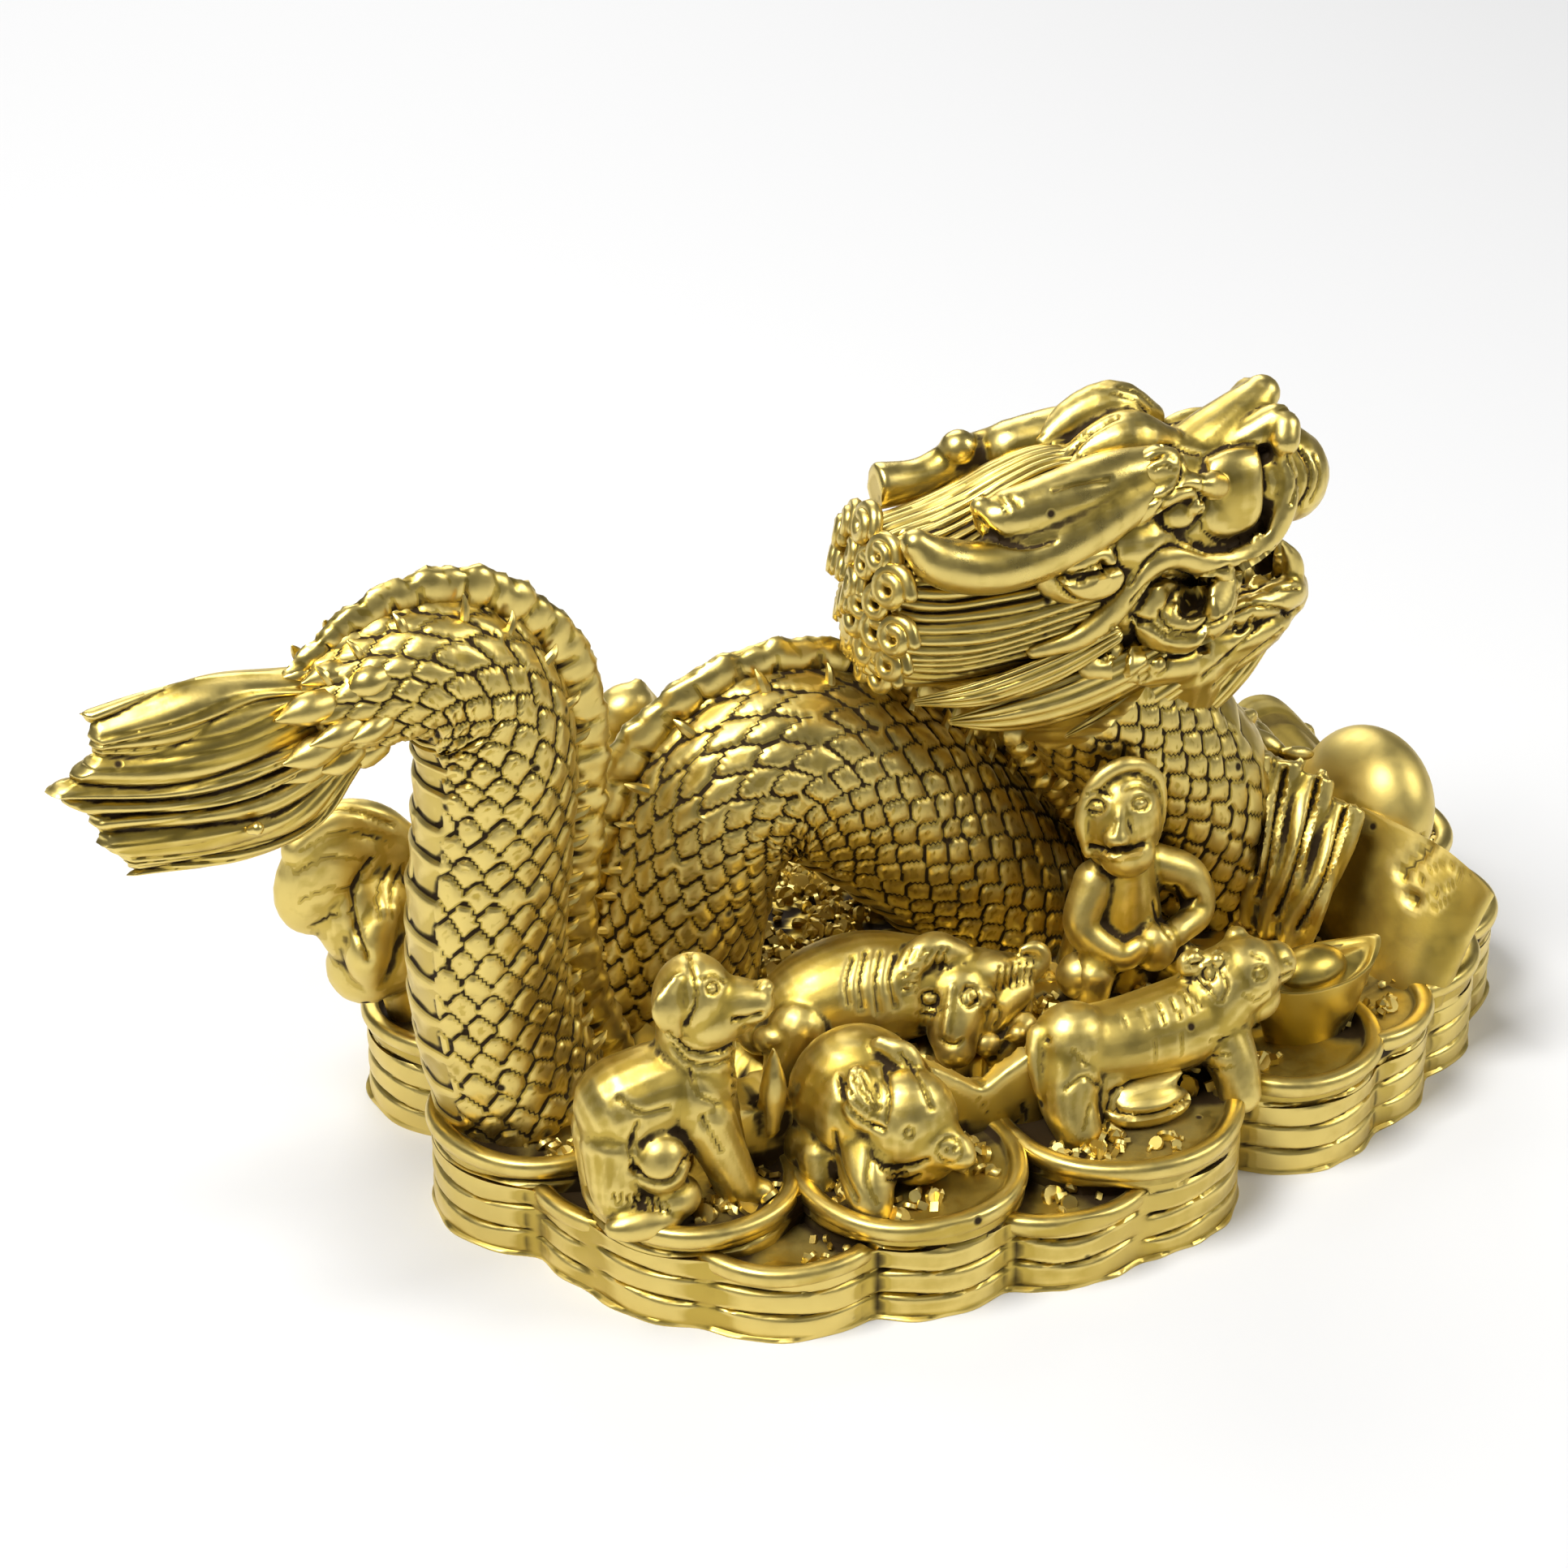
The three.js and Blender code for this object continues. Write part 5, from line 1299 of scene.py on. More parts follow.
SOFT_GOLD = gold_paint("gold on the animals", polish=0.41, pits=0.3)
dog = clay([
    ball((-49.2, -31.8, 21.4), (5.3, 4.8, 5.8)),
    limb([(-49.4, -31.5, 22.2, 5.3), (-45.4, -31.6, 23.4, 5.0), (-42.2, -31.8, 23.4, 4.8)],
         sides=20, rings=12),
    ball((-42.8, -34.0, 22.8), (3.6, 3.2, 4.6)),
    limb([(-42.2, -31.6, 23, 4.4), (-41.6, -31.4, 28, 4.2), (-41.6, -31.4, 31, 4.0)], sides=20, rings=10),
    ball((-41.8, -31.4, 33.4), (4.3, 4.2, 5.0)), ball((-40.6, -32.4, 31.6), (4.0, 3.6, 3.4)),
    limb([(-40.8, -32.0, 33.0, 3.4), (-37.8, -32.8, 33.0, 2.7), (-36.0, -33.2, 32.8, 2.3)],
         sides=18, rings=10),
    limb([(-40.0, -32.4, 31.0, 2.8), (-37.2, -33.0, 30.9, 1.7)], sides=14, rings=6),
    ball((-34.8, -33.4, 34.4), (1.1, 1.1, 0.9), rings=8),
    limb([(-44.0, -33.4, 37.0, 1.0), (-45.4, -34.4, 34.8, 1.9), (-45.0, -34.8, 31.8, 0.8)],
         sides=14, rings=10, flat=0.5),
    limb([(-50.6, -33.4, 18.4, 4.2), (-51.4, -35, 14.6, 3.0), (-50.6, -35.8, 11.6, 2.4)], sides=16, rings=8),
    limb([(-50.4, -35.8, 11.6, 2.0), (-48.0, -37.0, 11.3, 1.6)], sides=12, rings=4),
    limb([(-51, -28.5, 18, 3.2), (-51, -28.5, 11, 2.4)], sides=14, rings=6),
    limb([(-41.8, -34.6, 21, 3.3), (-39.9, -35.2, 16, 2.6), (-38.5, -35.4, 12, 2.4)], sides=16, rings=10),
    limb([(-38.4, -35.4, 11.6, 2.0), (-36.2, -36.2, 11.2, 1.6)], sides=12, rings=4),
    limb([(-39.6, -30.4, 21, 2.6), (-37.2, -30, 12, 2.1)], sides=14, rings=6),
    ball((-47.2, -36.4, 17.6), (3.1, 2.9, 3.6)), ball((-46.4, -36.4, 13.2), (3.6, 2.9, 2.6)),
    ball((-49.6, -38.2, 12.0), (4.4, 2.0, 1.8)),
], voxel=0.38)
ribs = [([(0.2, -3.0 - 1.15 * k), (1.5, -3.3 - 1.15 * k), (2.6, -3.0 - 1.15 * k)], 0.24, 0.5)
        for k in range(5)]
toes = [([(-12.2 + 0.75 * k, -17.2 - 0.12 * k), (-11.8 + 0.75 * k, -18.4 - 0.12 * k)], 0.16, 0.4)
        for k in range(8)]
carve(dog, (-39, -35.5, 32), lines=[
    (ringlet(-1.9, 3.9, 0.6), 0.2, 0.35), ([(-1.9, 3.9)], 0.25, -0.2),
    ([(-3.1, 4.8), (-1.8, 5.2), (-0.8, 4.5)], 0.2, 0.25),
    ([(-4.4, 7.4), (-3.9, 5.2), (-3.6, 2.6), (-4.6, 0.2)], 0.28, 0.4),
    ([(0.2, 0.6), (1.7, 0.6), (3.0, 1.1)], 0.26, 0.6),
    ([(2.6, 4.0), (2.9, 4.5)], 0.25, 0.3),
    ([(-6.4, -0.8), (-4.4, -2.6), (-1.6, -2.8), (1.4, -1.6)], 0.3, 0.5),
    ([(-6.2, -2.0), (-4.2, -3.8), (-1.6, -4.0), (0.6, -3.4)], 0.26, 0.35),
    ([(-9.6, -10.0), (-10.4, -12.4), (-9.8, -15.0)], 0.32, 0.35),
    ([(-11.4, -7.4), (-9.2, -8.8), (-6.6, -8.4)], 0.3, 0.3),
    ([(-3.0, -9.5), (-1.2, -13.0)], 0.35, 0.35), ([(-4.4, -4.4), (-3.4, -7.0), (-1.6, -8.0)], 0.3, 0.25),
    ([(-10.2, -14.6), (-8.4, -16.0), (-6.0, -15.8), (-4.6, -13.6)], 0.28, 0.6),
] + ribs + toes, reach=24)
finish_piece(dog, "dog", SOFT_GOLD)


# The pig faces the front with its snout to the right and long pleated ears laid back. It is resin
# like the rest, and its feet run into the coins under it.
pig = clay([
    ball((-23.8, -31.2, 17.4), (7.4, 6.6, 7.8)), ball((-24.4, -34.6, 18.0), (5.8, 5.2, 6.0)),
    ball((-20.8, -38.0, 17.6), (5.5, 4.8, 6.0)), ball((-19.8, -39.2, 14.6), (4.5, 3.6, 3.8)),
    limb([(-19.8, -39.2, 16.6, 4.3), (-18.0, -41.0, 16.0, 3.1), (-17.0, -42.1, 15.7, 2.1)],
         sides=20, rings=8),
    limb([(-16.9, -42.2, 15.7, 1.5), (-16.5, -42.9, 15.5, 1.5)], sides=16, rings=2),
    ball((-28.3, -32.4, 12.9), (3.9, 4.2, 4.0)),
    limb([(-29, -34.6, 13, 2.8), (-29.6, -36.2, 10.6, 2.0)], sides=14, rings=6),
    limb([(-25.0, -37.6, 15, 3.8), (-26.2, -41.4, 12.4, 2.7), (-26.2, -42.6, 10.6, 2.2)],
         sides=16, rings=10),
    limb([(-17.4, -35, 14.6, 2.8), (-15.6, -37.2, 10.8, 1.8)], sides=14, rings=6),
    limb([(-25.8, -36.6, 23.8, 1.0), (-26.0, -38.6, 21.2, 2.1), (-24.2, -40.0, 18.0, 0.6)],
         sides=16, rings=14, flat=0.6),
    limb([(-22.2, -34.0, 25.0, 1.0), (-20.2, -35.4, 23.8, 1.7), (-18.6, -37.4, 20.6, 0.6)],
         sides=14, rings=12, flat=0.7),
], voxel=0.38)
carve(pig, (-22, -38, 18), lines=[
    ([(-4.6, 4.9), (-3.4, 3.2), (-2.2, 1.2)], 0.2, 0.35),
    ([(-3.6, 5.2), (-2.7, 3.4), (-1.8, 1.6)], 0.2, 0.3),
    ([(-5.4, 4.2), (-4.2, 2.4), (-2.6, 0.8)], 0.2, 0.3),
    ([(-5.9, 4.6), (-5.4, 2.2), (-3.4, 0.2), (-1.4, -0.6)], 0.3, 0.5),
    ([(-1.2, 5.4), (-0.8, 2.6), (-1.1, 0.2)], 0.26, 0.35),
    ([(0.4, 7.0), (2.2, 4.8), (3.6, 1.6)], 0.26, 0.35),
    (ringlet(5.5, -2.9, 1.3), 0.2, 0.25), ([(5.1, -2.8)], 0.2, 0.35), ([(6.0, -2.7)], 0.2, 0.35),
    ([(-2.2, -3.6), (-0.6, -4.6), (1.4, -4.5), (3.2, -3.9)], 0.26, 0.45),
    ([(-0.8, -5.8), (0.8, -6.2), (2.4, -5.6)], 0.24, 0.4),
    ([(-1.6, -4.6), (-0.2, -5.4), (1.0, -5.3)], 0.2, 0.3), (ringlet(1.3, -0.9, 0.5), 0.18, 0.3),
    ([(-6.4, -1.2), (-5.8, -4.6), (-4.2, -7.8)], 0.35, 0.4),
    ([(-2.6, -3.0), (-3.0, -6.0), (-2.0, -8.2)], 0.3, 0.3),
], reach=24)
finish_piece(pig, "pig", SOFT_GOLD)


# The ox lies behind the pig with its head lowered to the front, ribbed horns and a folded neck. It
# is part of the one casting, and its flank runs into the heap of coins.
ox = clay([
    limb([(-29, -16, 17, 2.6), (-24.6, -16, 18.6, 5.6), (-17.6, -16, 19.6, 6.6), (-10.6, -17, 19.6, 5.4)],
         sides=28, rings=20),
    ball((-8.1, -20.4, 19.4), (4.4, 3.6, 4.4)), ball((-5.8, -19.8, 21.4), (4.4, 2.8, 2.8)),
    limb([(-1.0, -20.2, 18.8, 2.0), (-4.8, -21.2, 17.6, 2.7), (-8.8, -22.6, 15.6, 2.1)], sides=18, rings=10),
    limb([(-8.4, -21.0, 19.2, 3.6), (-9.6, -23.2, 17.2, 3.0), (-9.8, -24.2, 15.8, 2.4)], sides=20, rings=10),
    limb([(-6.4, -20.4, 19.4, 3.0), (-3.2, -20.0, 17.6, 2.6), (-0.6, -19.4, 16.0, 1.8)], sides=16, rings=8),
    limb([(-7.6, -18.8, 23.6, 1.9), (-10.6, -18.8, 25.2, 1.9), (-13.4, -19.8, 24.0, 1.6),
          (-14.0, -21.0, 21.6, 1.2), (-13.2, -21.6, 20.0, 0.6)], sides=14, rings=26),
    limb([(-5.4, -19.0, 22.2, 2.0), (-2.6, -19, 20.9, 2.1), (0.4, -19, 20.4, 1.8), (2.2, -19, 21.4, 1.3),
          (1.6, -19, 22.8, 0.9), (0.0, -19, 23.0, 0.5)], sides=14, rings=28),
    ball((-12.2, -21.2, 19.4), (1.5, 1.3, 1.7), rings=8),
    ball((-6.2, -23.2, 20.6), (1.5, 1.0, 1.1), (0, 30, 0), rings=8),
    limb([(-28.6, -17.5, 17, 2.0), (-29.4, -20, 18.8, 1.3), (-26.6, -21.4, 19.2, 1.0),
          (-24, -21.6, 18.6, 0.7)], sides=12, rings=16, relief=combed(0.2, 3)),
    limb([(-26, -19.6, 19, 3.4), (-28.4, -21, 14.6, 2.2)], sides=14, rings=8),
    limb([(-18, -20.4, 16, 3.0), (-23, -22.4, 14.0, 2.0)], sides=14, rings=8),
], voxel=0.38)
horn_ribs = [([(-7.9 + 0.8 * k, 4.6 + 0.55 * math.sin(0.9 * k)), (-7.2 + 0.8 * k, 6.2)], 0.15, 0.35)
             for k in range(6)]
tip_ribs = [([(-7.9, 4.2 - 0.75 * k), (-6.6, 4.0 - 0.75 * k)], 0.15, 0.35) for k in range(4)]
far_ribs = [([(2.2 + 0.75 * k, 1.8 + 0.1 * k), (2.6 + 0.75 * k, 4.2 + 0.1 * k)], 0.15, 0.35)
            for k in range(6)]
carve(ox, (-6.5, -22, 19), lines=[
    ([(-13.4, 5.2), (-14.0, 2.8), (-13.8, 0.4)], 0.3, 0.35),
    ([(-12.0, 5.8), (-12.6, 3.0), (-12.4, 0.0)], 0.3, 0.4),
    ([(-10.4, 5.8), (-10.9, 2.8), (-10.6, -0.4)], 0.3, 0.4),
    ([(-8.9, 5.4), (-9.4, 2.8), (-8.8, 0.2)], 0.3, 0.35),
    (ringlet(-5.1, 0.8, 0.8), 0.24, 0.5), ([(-5.1, 0.8)], 0.25, -0.2),
    ([(-6.2, -0.6), (-5.0, -0.9), (-4.0, -0.2)], 0.2, 0.3),
    (ringlet(-0.8, 1.1, 0.9, 1.1), 0.22, 0.4), ([(-1.2, 2.3), (-0.5, 0.9), (0.3, 0.4)], 0.2, 0.3),
    ([(-2.8, 2.2), (-3.2, -0.6), (-3.6, -3.0)], 0.3, -0.3),
    ([(-4.0, -3.4), (-2.8, -4.1), (-1.6, -3.6)], 0.24, 0.4),
    ([(1.6, 0.4), (2.6, -0.8), (2.0, -2.2)], 0.24, 0.35),
] + horn_ribs + tip_ribs + far_ribs, reach=24)
finish_piece(ox, "ox", SOFT_GOLD)


# The tiger stands on the right front stack, rump to the left, its rough head turned to the ingot.
# Its feet are one with the coin under them, and its stripes are short cuts in the resin.
tiger = clay([
    ball((0.4, -31.8, 18.4), (4.6, 4.3, 5.0)),
    limb([(0.4, -31.5, 18.0, 4.4), (5, -31.5, 17.4, 4.7), (12, -31.4, 17.9, 5.0),
          (17.6, -30.6, 18.8, 4.7)], sides=24, rings=16),
    limb([(16.6, -30.8, 19.0, 4.8), (18.6, -30.6, 21.0, 4.6), (20.4, -30.6, 21.8, 4.2)], sides=20, rings=10),
    ball((20.6, -30.6, 22.4), (4.5, 4.0, 4.1)), ball((21.6, -31.4, 19.6), (3.2, 2.8, 2.8)),
    limb([(21.6, -30.4, 22.4, 3.5), (24.6, -30.2, 22.6, 2.5)], sides=16, rings=6),
    ball((14.8, -30.4, 24.8), (1.9, 1.3, 1.7), rings=8), ball((17.2, -31.4, 24.9), (1.7, 1.3, 1.5), rings=8),
    ball((20.8, -28.4, 25.8), (1.3, 1.1, 1.1), rings=8), ball((16.0, -32.0, 23.0), (1.3, 1.0, 1.2), rings=8),
    limb([(-0.4, -32.6, 17, 4.2), (-1.4, -35.6, 14, 3.2), (-1.0, -37.6, 11.4, 2.6)], sides=16, rings=10),
    limb([(3.4, -33.6, 15, 3.0), (3.0, -35.4, 11.4, 2.1)], sides=14, rings=6),
    limb([(1.4, -28, 17, 3.0), (1.4, -28.6, 11, 2.2)], sides=14, rings=6),
    limb([(17.2, -32.4, 17, 3.6), (18.0, -35.2, 14, 2.8), (18.2, -36.6, 11.4, 2.4)], sides=16, rings=10),
    limb([(16.6, -28, 17, 3.0), (16.4, -28.4, 11, 2.2)], sides=14, rings=6),
    limb([(-3.4, -31.6, 20.4, 1.3), (-4.4, -33, 18.6, 1.0), (-4.2, -34.8, 15.4, 0.8)], sides=12, rings=12),
], voxel=0.38)
carve(tiger, (8, -35, 20), lines=[
    ([(-3.0, 2.4), (-2.4, 0.8)], 0.15, 0.25), ([(-1.0, 2.6), (-0.4, 0.8)], 0.15, 0.25),
    ([(0.8, 3.2), (1.7, 1.2)], 0.15, 0.3), ([(2.2, 3.7), (3.4, 1.8)], 0.15, 0.3),
    ([(3.4, 4.4), (4.8, 2.4)], 0.15, 0.3), ([(4.2, 4.8), (5.6, 3.0)], 0.15, 0.3),
    ([(6.0, 5.2), (7.4, 3.4)], 0.15, 0.25), ([(6.6, -0.8), (8.6, -0.4)], 0.15, 0.25),
    ([(7.0, -2.4), (8.8, -2.2)], 0.15, 0.25), ([(7.0, -4.0), (9.0, -3.6)], 0.15, 0.25),
    ([(0.4, -0.6), (0.8, -3.0)], 0.13, 0.15), ([(3.4, 0.2), (3.6, -2.2)], 0.13, 0.15),
    ([(-9.0, -5.4), (-7.2, -4.2), (-5.6, -5.2)], 0.26, 0.3), ([(-8.4, -1.4), (-6.8, -3.0)], 0.16, 0.25),
    ([(-6.6, -7.4), (-7.2, -9.8)], 0.2, 0.25), ([(-3.4, -5.8), (-4.2, -6.8), (-4.6, -9.8)], 0.3, 0.45),
    ([(-11.0, -0.4)], 0.3, 0.4), ([(-4.4, -6.2), (-2.4, -5.4), (1.0, -4.8), (4.8, -4.0)], 0.3, 0.3),
], reach=26)
carve(tiger, (19.4, -33, 23.6), lines=[
    (ringlet(2.0, 0.4, 0.75), 0.2, 0.4), (ringlet(2.0, 0.4, 0.3), 0.2, 0.3),
    (ringlet(-2.6, 1.9, 0.9), 0.2, 0.4), (ringlet(-5.0, 2.2, 0.9), 0.2, 0.4),
    (ringlet(-3.6, 0.4, 0.7), 0.2, 0.4),
    ([(4.4, -0.2), (5.8, 0.3)], 0.22, 0.4), ([(5.0, 1.6), (5.6, 1.3)], 0.22, 0.3),
    ([(1.0, 2.5), (2.4, 1.9)], 0.2, 0.25),
    ([(-2.4, 0.6), (-1.6, -0.8), (-2.2, -2.4)], 0.22, 0.35), ([(-4.8, -0.2), (-3.6, -1.2)], 0.2, 0.35),
    ([(0.2, -1.9), (1.6, -2.5), (2.8, -1.7)], 0.18, 0.2), ([(-6.0, 1.0), (-4.6, 1.4)], 0.2, 0.35),
], reach=12)
finish_piece(tiger, "tiger", SOFT_GOLD)


# The monkey crouches against the neck with its knees up and holds a peach in front of it. A thin
# raised edge frames its face, and its lower end runs into the bed, as both are the same resin.
monkey = clay([
    limb([(13.4, -12, 12.5, 6), (13.6, -13.4, 20, 5.2), (13.8, -13.8, 28, 3.6)], sides=24, rings=14),
    ball((12.8, -14.8, 34.4), (4.6, 4.4, 6.0)),
    ball((12.6, -17.6, 31.6), (3.2, 2.6, 2.6)),
    limb([(11.4, -18.0, 37.4, 0.6), (10.9, -18.5, 36.0, 0.9), (10.7, -18.7, 34.8, 1.5)], sides=12, rings=10),
    limb([(8.6, -16.0, 31.6, 0.6), (8.0, -15.4, 35.8, 0.85), (10.0, -15.2, 40.2, 0.9),
          (13.4, -15.2, 41.4, 0.9), (16.8, -14.8, 39.0, 0.85), (17.6, -15.0, 34.8, 0.7),
          (16.6, -16.2, 31.4, 0.4)], sides=10, rings=50),
    ball((17.6, -13.6, 34.0), (1.2, 1.2, 2.0), rings=8),
    limb([(17.2, -13.6, 27.4, 2.4), (21.6, -14.2, 24.8, 2.4), (22.4, -15.6, 21.4, 1.9),
          (18.6, -18.2, 20.6, 1.6)], sides=16, rings=24),
    limb([(10.2, -14.6, 27, 2.4), (8.2, -16.4, 22.4, 2.1), (11.8, -19.2, 19.6, 1.7),
          (13.6, -19.6, 20.6, 1.3)], sides=16, rings=24),
    ball((15.8, -18.8, 19.8), (2.6, 2.4, 2.9)),
    limb([(11, -14, 15, 2.8), (9.0, -18.4, 18.4, 2.4), (8.2, -18.8, 12.6, 1.8)], sides=14, rings=14),
    limb([(17, -14, 14, 2.8), (19.8, -17.6, 16.6, 2.4), (20, -18.4, 12.4, 1.8)], sides=14, rings=14),
], voxel=0.38)
carve(monkey, (12.9, -19, 33), lines=[
    (ringlet(0.5, 4.9, 0.95, 0.7), 0.2, 0.35), ([(0.5, 4.9)], 0.3, -0.25),
    (ringlet(-4.4, 4.5, 0.9, 0.7), 0.2, 0.35), ([(-4.4, 4.5)], 0.3, -0.25),
    ([(-4.9, 0.2), (-3.0, -0.1), (-1.0, 0.0), (0.9, 0.5)], 0.24, 0.6),
    ([(-4.2, -0.6), (-2.2, -0.9), (0.4, -0.3)], 0.26, -0.4),
    ([(-1.2, 6.4), (0.2, 6.8), (1.6, 6.2)], 0.22, 0.25),
    ([(-5.4, 5.9), (-4.2, 6.2), (-2.8, 5.6)], 0.22, 0.25),
    ([(-2.4, 2.8), (-2.8, 1.7)], 0.24, 0.25), ([(-0.8, 2.9), (-0.5, 1.9)], 0.24, 0.25),
    ([(5.0, -4.4), (6.0, -6.0), (7.4, -5.6)], 0.25, 0.35),
    ([(2.6, -6.0), (3.2, -8.2), (4.4, -9.8)], 0.25, 0.35),
], reach=20)
finish_piece(monkey, "monkey", SOFT_GOLD)


# The animals of the back row and the sides, which the photograph hides for the most part: the
# horse, goat, rooster, rabbit, snake and rat, finished like the others but plainer.
def four_footed(rump, chest, girth, head, skull, nose, snout, ears, feet):
    rump, chest, head, nose = [np.array(p, float) for p in (rump, chest, head, nose)]
    parts = [
        limb([(*rump, girth), (*(0.5 * (rump + chest) + (0, 0, 0.4)), girth * 0.95), (*chest, girth)],
             sides=22, rings=12),
        limb([(*chest, girth * 0.9), (*(0.5 * (chest + head)), girth * 0.72), (*head, skull * 0.85)],
             sides=18, rings=10),
        ball(head, (skull, skull * 0.9, skull)),
        limb([(*head, skull * 0.85), (*nose, snout)], sides=16, rings=6),
    ]
    for ear in ears:
        parts.append(limb([(*(0.5 * (head + np.array(ear))), 1.4), (*ear, 0.5)],
                          sides=10, rings=5, flat=0.7))
    for k, foot in enumerate(feet):
        hip = (rump if k < 2 else chest) + np.array([0, (foot[1] - rump[1]) * 0.7, -2.0])
        parts.append(limb([(*hip, 2.6), (*foot, 1.7)], sides=12, rings=6))
    return parts


horse = four_footed((-22, 31, 21), (-29, 29, 22), 4.6, (-30.6, 26, 33.6), 3.4, (-33.4, 24.6, 28), 2, [],
                    [(-19.4, 33.6, 11), (-20, 28.6, 11), (-30.6, 32, 11), (-31, 26, 11)])
horse += [
    ball((-30.4, 25.6, 35.2), (3.6, 3.0, 2.8), (0, -20, 0)),
    limb([(-28.4, 26.6, 37.2, 1.0), (-26, 27.4, 32, 1.6), (-25, 28.6, 26.6, 1.2)], sides=12, rings=12,
         relief=combed(0.25, 4)),
]
finish_piece(clay(horse, voxel=0.5), "horse", SOFT_GOLD)
goat = four_footed((-6, 33.5, 20), (3.6, 33.5, 20.4), 4.4, (8.6, 33.4, 27.4), 3.1, (12.6, 33.6, 24.6), 1.7,
                   [(5.8, 31, 31), (5.8, 36, 31)], [(-7, 36, 11), (-7, 31, 11), (4.6, 36, 8), (4.6, 31, 8)])
for y in (32, 35):
    goat.append(limb([(7.4, y, 29.6, 1.3), (4.4, y, 31.4, 1.1), (2.4, y, 29.0, 0.5)], sides=10, rings=14))
goat += [limb([(12, 33.6, 22.8, 1.0), (12.6, 33.6, 20.0, 0.3)], sides=8, rings=5)]
finish_piece(clay(goat, voxel=0.5), "goat", SOFT_GOLD)
rooster = clay([
    limb([(-66, 8.5, 19, 4.4), (-63, 9.4, 20.5, 5.4), (-59.4, 10.4, 24.6, 4.6), (-57.4, 11, 31.4, 2.8)],
         sides=20, rings=16),
    limb([(-57.4, 11, 31.8, 1.8), (-53.4, 11.6, 31.2, 0.3)], sides=10, rings=5),
    limb([(-59, 10.6, 33.4, 0.9), (-57.4, 11, 34.6, 1.1), (-55.6, 11.2, 33.8, 0.6)],
         sides=10, rings=8, flat=0.6),
    limb([(-62.6, 9.6, 18, 2.4), (-61.6, 9.8, 10.5, 1.8)], sides=12, rings=6),
    ball((-69.4, 8.6, 31.2), (5.8, 3.0, 7.6), (0, 30, 0)),
    ball((-65.8, 7.8, 25.4), (5.6, 3.6, 6.4), (0, -18, 0)),
    ball((-64.6, 9.4, 32.2), (5.4, 2.6, 5.4)),
    limb([(-72.6, 8.4, 35.0, 2.0), (-68.2, 8.6, 37.6, 2.2), (-64.0, 9.0, 36.6, 2.0),
          (-59.8, 9.4, 32.6, 1.6)], sides=18, rings=24, flat=0.9),
    limb([(-64.4, 5.4, 27.4, 1.8), (-66.6, 4.6, 23.0, 2.6), (-66.4, 5.4, 18.8, 1.4)], sides=16, rings=14),
], voxel=0.5)
carve(rooster, (-67, 6, 30), lines=[
    ([(-6.6, 6.4), (-2.0, 9.0), (4.0, 7.0)], 0.3, 0.5), ([(-5.6, 4.4), (-1.6, 6.4), (3.6, 5.2)], 0.2, 0.25),
    ([(-6.4, 2.0), (-3.0, 3.6), (1.0, 3.4)], 0.2, 0.2),
    ([(-6.0, -1.0), (-3.0, 0.2), (-0.6, 0.2)], 0.2, 0.25),
    ([(-5.0, -3.8), (-2.6, -2.6), (-0.8, -2.4)], 0.2, 0.25),
    ([(1.6, 3.4), (-0.4, 0.2), (-0.2, -4.0), (1.2, -7.4)], 0.3, 0.6),
    ([(3.4, 2.6), (2.2, 0.2), (2.4, -3.0)], 0.2, 0.3), ([(4.6, 2.6), (3.6, 0.2), (3.8, -3.0)], 0.2, 0.3),
], reach=24)
finish_piece(rooster, "rooster", SOFT_GOLD)
small_animals = clay([
    ball((29, 29.5, 15.6), (5.8, 4.8, 5.8)), ball((35.4, 30, 18.2), (3.4, 3.0, 3.2)),
    limb([(34.6, 28.8, 20, 1.3), (31.4, 28.4, 23.6, 1.5), (29.6, 28, 25.4, 0.5)],
         sides=12, rings=10, flat=0.7),
    limb([(34.6, 31.2, 20, 1.3), (31.4, 31.6, 23.6, 1.5), (29.6, 32, 25.4, 0.5)],
         sides=12, rings=10, flat=0.7),
    limb([(33.6, 27.4, 14, 2.0), (36.0, 27.2, 11.4, 1.3)], sides=12, rings=5),
    limb([(33.6, 32.4, 14, 2.0), (36.0, 32.6, 11.4, 1.3)], sides=12, rings=5),
    limb([(43, 25.4, 13.4, 2.2), (48.6, 21, 15.6, 4.3), (52, 18.2, 16.6, 3), (55.4, 15.8, 14.8, 0.9)],
         sides=18, rings=14),
    ball((50, 20.6, 19.6), (1.4, 1.4, 1.4), rings=8), ball((52.6, 19.6, 19.2), (1.4, 1.4, 1.4), rings=8),
    limb([(43, 25.4, 13, 1.0), (39.6, 28, 12.6, 0.8), (38.6, 31, 12.4, 0.5)], sides=8, rings=12),
], voxel=0.5)
finish_piece(small_animals, "rabbit_and_rat", SOFT_GOLD)
SNAKE = {"steps": 12, "turns": 1.5, "reach": 5.6, "narrows": 2.4, "rises": 6.4, "thick": 2.3}
snake_line = []
for k in range(SNAKE["steps"] + 1):
    turn = 2 * math.pi * SNAKE["turns"] * k / SNAKE["steps"]
    reach = SNAKE["reach"] - SNAKE["narrows"] * k / SNAKE["steps"]
    up = 12.6 + SNAKE["rises"] * k / SNAKE["steps"]
    snake_line.append((17.6 + reach * math.cos(turn), 34 + reach * math.sin(turn) * 0.85, up,
                       SNAKE["thick"]))
snake_line += [(15.6, 33, 23.6, 2.0), (19.6, 33.4, 27.2, 2.2), (24.4, 34, 26.8, 1.4)]
snake = limb(snake_line, sides=16, rings=130,
             relief=lambda along, turn: 0.12 * np.cos(turn * 6) * np.cos(along * 240))
finish_piece(clay([snake], voxel=0.5, rounds=0), "snake", SOFT_GOLD)


